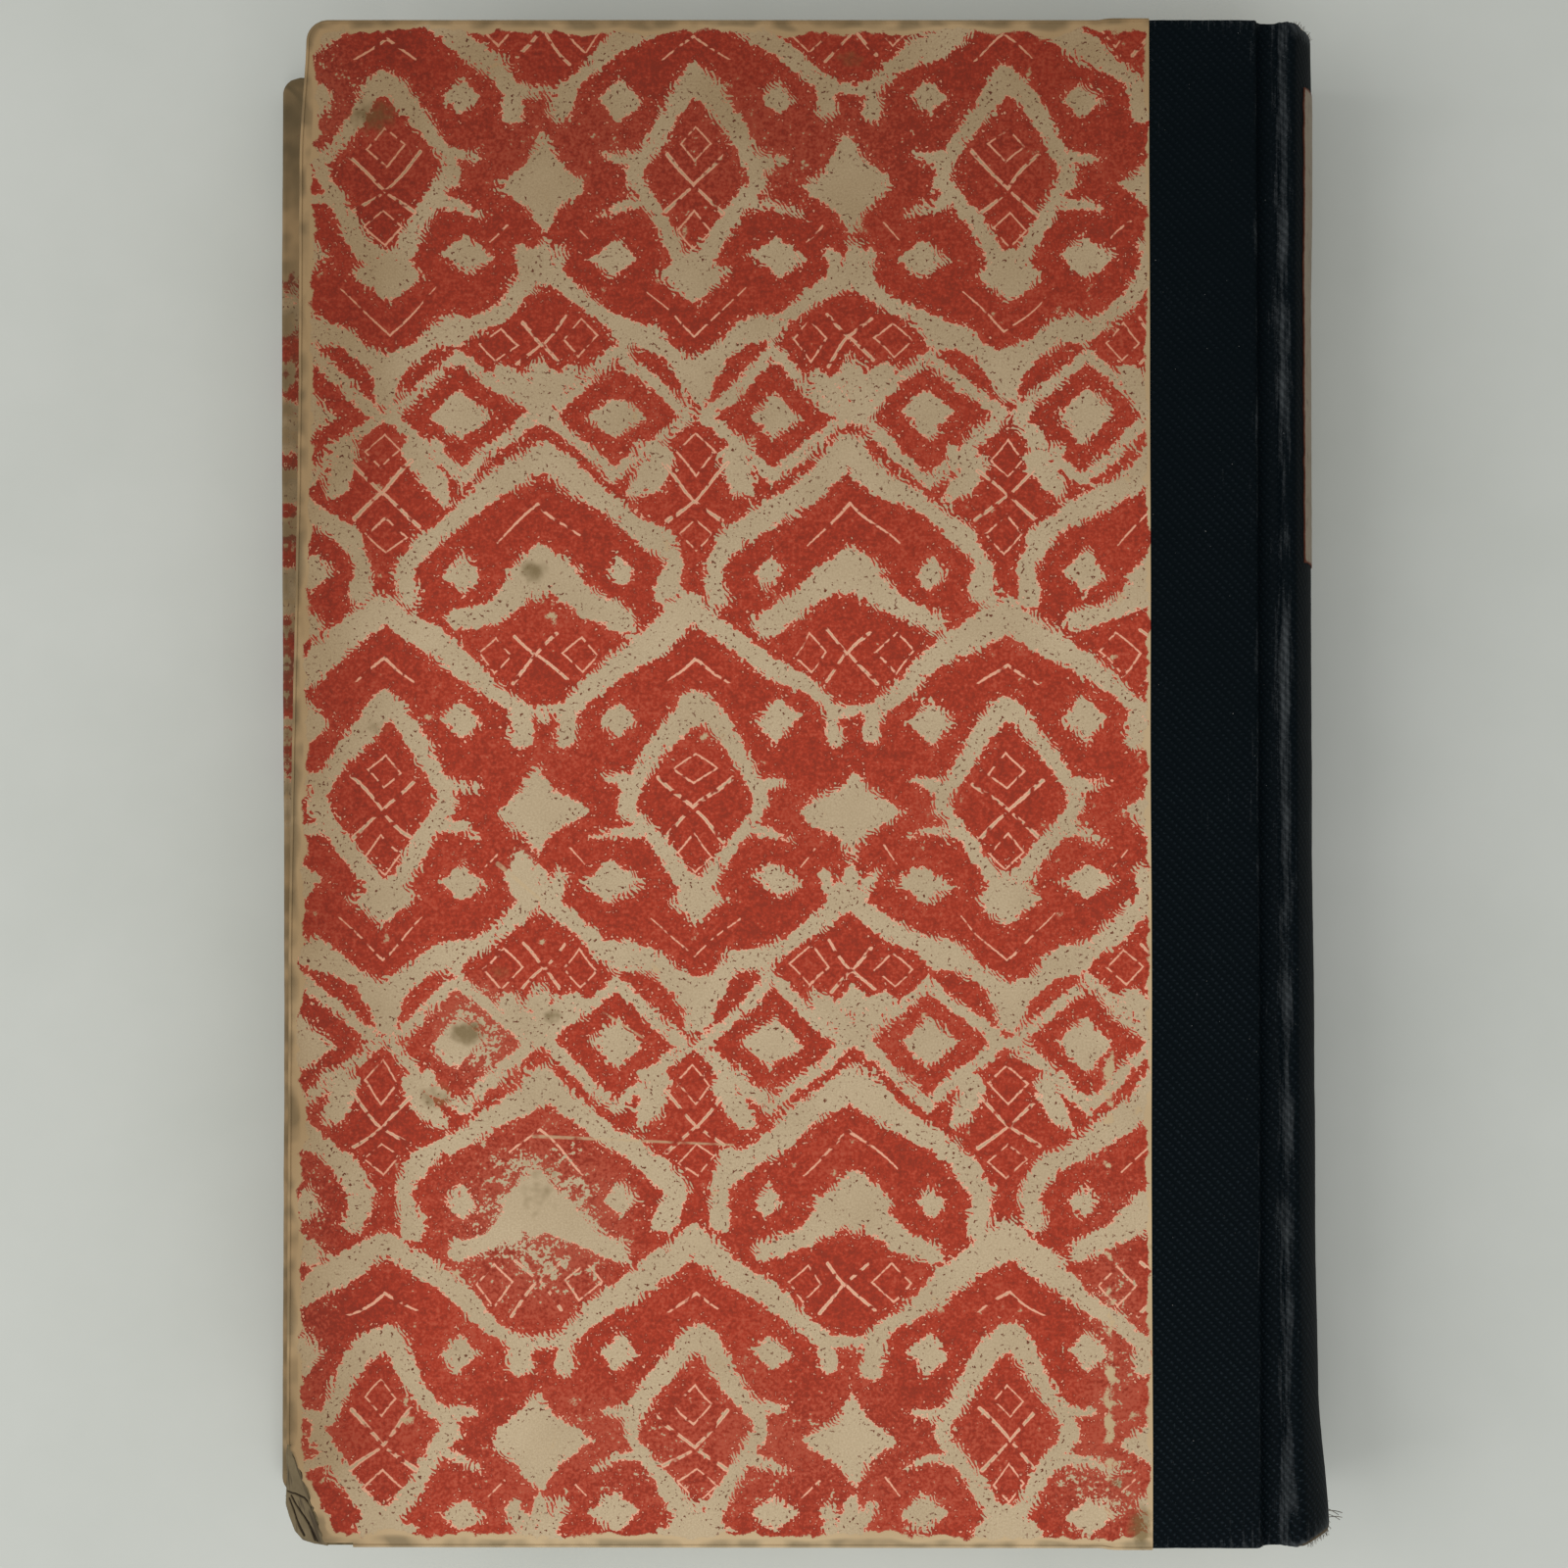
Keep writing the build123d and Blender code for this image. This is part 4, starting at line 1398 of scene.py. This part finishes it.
def worn_board(body):
    torn = body == "back_cover"
    sheet = Sheet()
    ys = row_places(board_half, tear_top + 1 if torn else -board_half, 2.5)
    rings = []
    for layer in range(layer_count):
        depth = between(cloth, far_face, layer / (layer_count - 1))
        near = [sheet.point(on_cover(body, joint_gap, y, depth), (0, 0)) for y in ys]
        far = []
        for y in ys:
            on_corner = ease(-94, -97, y) if torn else 0.0
            edge = paper_reach(body, y, board_half) + paper_round - paper
            edge = between(edge, min(edge, under_corner), on_corner)
            far.append(sheet.point(on_cover(body, edge, y, depth), (0, 0)))
        rings.append(near + far[::-1] + near[:1])
        if layer == 0:
            sheet.strip(near, far)
    sheet.strip(far, near)
    sheet.grid(rings[::-1])
    return sheet.build(f"worn_{body}_board", Vector((0, 0, covers[body])), 0, board_material)


def bare_corner():
    body = "back_cover"
    sheet = Sheet()
    tear_ys = (tear_top, -95.5, -97.0, -99.0, -101.0, -103.0, -105.0, -107.0)
    tear = [(paper_reach(body, y, board_half) - 0.5, y) for y in tear_ys]
    tear.append((133.0, tear_bottom))
    rows = []
    for step in range(corner_steps + 1):
        share = step / corner_steps
        inner, outer = along_chain(tear, share), along_chain(corner_outline, share)
        row = []
        for column in range(corner_columns + 1):
            across = column / corner_columns
            along, y = between(inner[0], outer[0], across), between(inner[1], outer[1], across)
            spot = np.array([(along, y)])
            gap = min(stroke_field(spot, *stroke)[0] for stroke in crack_strokes)
            crack_and_shade = math.exp(-((gap / crack_width) ** 2))
            puff = 0.13 * math.sin(math.pi * across) * ease(0.1, 0.5, share)
            puff += 0.04 * wander(along, y, size=0.7)
            rounded = 0.7 * across**7
            depth = cloth - 0.02 - puff + 0.3 * crack_and_shade + rounded
            # The crack's share goes in as the point's rub, which the corner's finish paints as dark shade.
            row.append(sheet.point(on_cover(body, along, y, depth), (along, y), crack_and_shade))
        way = (Vector(outer) - Vector(corner_middle)).normalized()
        for level in range(1, corner_levels + 1):
            drop = level / corner_levels
            depth = between(cloth + 0.7, far_face + 0.05, drop)
            leaf = math.sin(drop * math.tau * leaf_waves + 1.2 * wander(share * 9, drop * 2, size=1.0))
            bulge = 0.1 * leaf * math.sin(math.pi * drop) * (0.4 + ease(0.3, 0.6, share)) - 0.25 * drop
            place = on_cover(body, outer[0] + way.x * bulge, outer[1] + way.y * bulge, depth)
            # The hollows between the layers get a rub too, which the corner's finish paints as dark shade.
            row.append(sheet.point(place, outer, ease(0.2, -0.9, leaf) * 0.8))
        rows.append(row)
    sheet.grid(rows)
    return sheet.build("bare_corner", Vector((0, 0, 1)), 0, worn_board_finish())


board_pieces = {body: worn_board(body) for body in covers}
corner_piece = bare_corner()
print("board faces:", [len(piece.data.polygons) for piece in (*board_pieces.values(), corner_piece)])

# %% [markdown]
# The endpaper is one folded sheet. Its fold is not seen while the book is shut: from the pasted half it
# climbs the edge of the board, follows the groove under the cloth and comes down the shoulder to the free
# half.

# %% The fold of the endpapers
fold_radius = joint_gap + 0.14


def endpaper_fold(body):
    side, at = covers[body], hinge[body]
    climb = [between(far_face + 0.62, 0.95, step / 6) for step in range(7)]
    line = [Vector((-joint_gap + 0.15, 0, -depth)) for depth in climb]
    first, last = math.pi + 0.4, math.pi * 1.75
    line += [turned(Vector(), fold_radius, between(first, last, step / 24)) for step in range(25)]
    down = Vector((-1, 0, -1)).normalized()
    line += [line[-1] + down * distance for distance in (0.8, 1.6, 2.4, 2.95)]
    sheet = Sheet()
    rows = []
    for number, spot in enumerate(line):
        row = []
        for step in range(61):
            y = between(-pages_half, pages_half, step / 60)
            over_cloth = ease(board_half - turn_in - 2, board_half - turn_in, abs(y))
            away = Vector((0.42, 0, 0)) if number < len(climb) else spot * 0.16
            place = spot + away * over_cloth
            row.append(sheet.point(at + Vector((place.x, y, side * place.z)), (spot.x, y)))
        rows.append(row)
    sheet.grid(rows)
    return sheet.build(f"{body}_endpaper_fold", Vector((1, 0, 0)), 0.13, endpaper_material)


fold_pieces = {body: endpaper_fold(body) for body in covers}
print("fold faces:", [len(piece.data.polygons) for piece in fold_pieces.values()])

# %% [markdown]
# Worn cloth and board end in loose fibres. One tree scatters them: it resamples a line along the edge into
# points and stands a short bent hair on each, turned and scaled by seeded random numbers.

# %% Loose fibres on the worn edges


def fibre_tree():
    """The node tree that scatters hairs along a line."""
    inputs = {
        "Spacing": ("Float", 0.3 * MM),
        "Length": ("Float", 0.8 * MM),
        "Thickness": ("Float", 0.04 * MM),
        "Direction": ("Vector", (0, 0, 0)),
        "Spread": ("Float", 0.6),
        "Seed": ("Int", 1),
    }
    bench, given = new_tree("loose_fibres", inputs)
    line = resampled(bench, given["Geometry"], given["Spacing"])
    bend = {"Resolution": 5, "Start": (0, 0, 0), "Middle": (0, 0.15, 0.5), "End": (0.1, 0, 1)}
    hair = bench.node("GeometryNodeCurveQuadraticBezier", None, bend)
    length = {0: (1, 1, 1), "Scale": given["Length"]}
    stretch = bench.node("ShaderNodeVectorMath", {"operation": "SCALE"}, length)
    longer = bench.node("GeometryNodeTransform", None, {"Geometry": hair, "Scale": stretch})
    strand = tube(bench, longer, circle(bench, 4, given["Thickness"]))
    limits = {0: (-1, -1, -1), 1: (1, 1, 1), "Seed": given["Seed"]}
    shake = bench.node("FunctionNodeRandomValue", {"data_type": "FLOAT_VECTOR"}, limits)
    spread = {0: shake, "Scale": given["Spread"]}
    sideways = bench.node("ShaderNodeVectorMath", {"operation": "SCALE"}, spread)
    aim = bench.node("ShaderNodeVectorMath", {"operation": "ADD"}, {0: given["Direction"], 1: sideways})
    size = bench.node("FunctionNodeRandomValue", {"data_type": "FLOAT"}, {2: 0.3, 3: 1.2}, output=1)
    points = {"Points": line, "Instance": strand, "Rotation": facing(bench, aim), "Scale": size}
    return end_tree(bench, given, bench.node("GeometryNodeInstanceOnPoints", None, points))


fibres = fibre_tree()
fray_finish = Finish("loose_fibres")
fray_tone = fray_finish.noise(fray_finish.object_place(), 0.8, 2)
fray_colour = fray_finish.mix(fray_tone.rise(0.35, 0.65), ink(30, 28, 26), ink(96, 80, 58))
fray_material = fray_finish.surface(fray_colour, 0.9, Specular_IOR_Level=0.1)


def spine_edge(end, first_angle, last_angle, inset=0.6):
    """A line along the spine's edge at one end, between two angles about the centre of the spine."""
    y = end * (board_half + cloth - inset - 0.2 * (1 - end))
    line = []
    for step in range(25):
        angle = between(first_angle, last_angle, step / 24)
        out = spine_wear(turned(spine_centre, spine_radius, angle), y) - 0.25
        place = turned(spine_centre, spine_radius + out, angle)
        line.append(Vector((place.x, y, place.z)))
    return line


top_angle = angle_to(spine_centre, ridge["back_cover"])
# Each line of fibres has its way, their spacing, length, thickness and spread, and the seed
fray_lines = {
    "tail_fray": (spine_edge(-1, top_angle, -0.3), (0.2, -1, 0.1), 0.16, 0.75, 0.03, 0.7, 3),
    "head_fray": (spine_edge(1, top_angle, -0.2), (0.3, 1, 0.2), 0.22, 0.7, 0.025, 0.8, 5),
    "tail_threads": (spine_edge(-1, 0.25, -0.1, inset=1.8), (1, 0.1, 0.4), 1.4, 2.0, 0.045, 0.5, 9),
}


def fray(name, line, direction, spacing, length, thickness, spread, seed):
    values = {"Spacing": spacing * MM, "Length": length * MM, "Thickness": thickness * MM}
    values.update({"Direction": direction, "Spread": spread, "Seed": seed, "Material": fray_material})
    return run_tree(path(name, line), fibres, values)


fray_pieces = [fray(name, *values) for name, values in fray_lines.items()]
corner_edge = [on_cover("back_cover", along - 0.1, y, cloth + 1.0) for along, y in corner_outline[:6]]
corner_fray = fray("corner_fray", corner_edge, (-1, -0.2, 0.1), 0.5, 0.35, 0.025, 0.9, 7)
print("fibre faces:", [len(piece.data.polygons) for piece in fray_pieces + [corner_fray]])

# %% [markdown]
# The camera looks almost straight down from above the middle of the book, so close that the spine's round
# side shows a little. It was fitted to the photograph by the board's edges and the groove. The light is
# soft and comes a little from the left, so that the spine's right side falls into a pale shadow on the
# floor.

# %% Camera, floor and light
camera_data = bpy.data.cameras.new("camera")
camera_data.sensor_width = 36.0
camera_data.lens = 54.53
camera_data.shift_x, camera_data.shift_y = 0.0277, -0.0046
camera_data.clip_start = 0.01
camera = placed("camera", camera_data)
camera.location = Vector((-6.06, -6.06, 365.96)) * MM
camera.rotation_euler = [math.radians(angle) for angle in (1.091, 0.108, 0.042)]
bpy.context.scene.camera = camera
bpy.context.scene.view_settings.view_transform = "Standard"


def floor_finish():
    finish = Finish("floor")
    place = finish.object_place()
    tone = finish.noise(place, 60.0, 2)
    smudge = finish.noise(place, 14.0, 3, 0.6)
    colour = finish.mix(tone * 0.7 + smudge * 0.3, ink(178, 182, 175), ink(198, 200, 195))
    return finish.surface(colour, 0.9, Specular_IOR_Level=0.1)


floor_mesh = bpy.data.meshes.new("floor")
floor_half = 2.0
floor_corners = [(x * floor_half, y * floor_half, 0) for x, y in ((-1, -1), (1, -1), (1, 1), (-1, 1))]
floor_mesh.from_pydata(floor_corners, [], [(0, 1, 2, 3)])
floor = placed("floor", floor_mesh)
floor_mesh.materials.append(floor_finish())

world = bpy.data.worlds.new("studio")
bpy.context.scene.world = world
world.use_nodes = True
backdrop = world.node_tree.nodes["Background"]
backdrop.inputs["Color"].default_value = (1.0, 1.0, 0.99, 1.0)
backdrop.inputs["Strength"].default_value = 0.55


def soft_lamp(name, place, target, size, power):
    """A large square lamp that faces a target."""
    data = bpy.data.lights.new(name, "AREA")
    data.size = size
    data.energy = power
    lamp = placed(name, data)
    lamp.location = place
    lamp.rotation_euler = (Vector(target) - Vector(place)).to_track_quat("-Z", "Y").to_euler()


soft_lamp("key", (-0.75, -0.1, 0.85), (0, 0, 0), 0.7, 5.6)
soft_lamp("fill", (0.1, -0.42, 0.5), (0, -0.06, 0), 0.5, 1.4)
print("lamps:", len(bpy.data.lights))

# %% [markdown]
# Last, the papers, boards, corner, fibres, pages, label and bands are tied to the bodies that carry them;
# the cloth halves and the endpaper folds keep their place in the scene. Imported solids that show keep their
# place and get their finish here.

# %% Tie the pieces to the book
for body, piece in cloth_pieces.items():
    at = hinge[body] * MM
    tuple(at)
    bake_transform(piece)
    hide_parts("spine_cloth", f"{body.split('_')[0]}_cloth_lap")

for body, piece in paper_pieces.items():
    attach(piece, body)
    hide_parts(f"{body.split('_')[0]}_cover_paper")

for body, piece in board_pieces.items():
    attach(piece, body)
    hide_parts(f"{body.split('_')[0]}_board")
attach(corner_piece, "back_cover")

for body, piece in fold_pieces.items():
    at = hinge[body]
    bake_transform(piece)

for piece in fray_pieces:
    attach(piece, "book")
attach(corner_fray, "back_cover")

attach(pages, "book")
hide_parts("text_block")
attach(label, "book")
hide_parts("spine_label")
for node, band in bands.items():
    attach(band, "book")
    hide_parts(node)

carried = {"mull": mull_material, "spine_lining": lining_material, "spine_inlay": lining_material}
for side in ("back", "front"):
    for sheet in ("pastedown", "flyleaf"):
        carried[f"{side}_{sheet}"] = endpaper_material
for node, material in carried.items():
    for slot in frame["nodes"][node].material_slots:
        slot.material = material
print("packed solids that show:", sorted(carried))
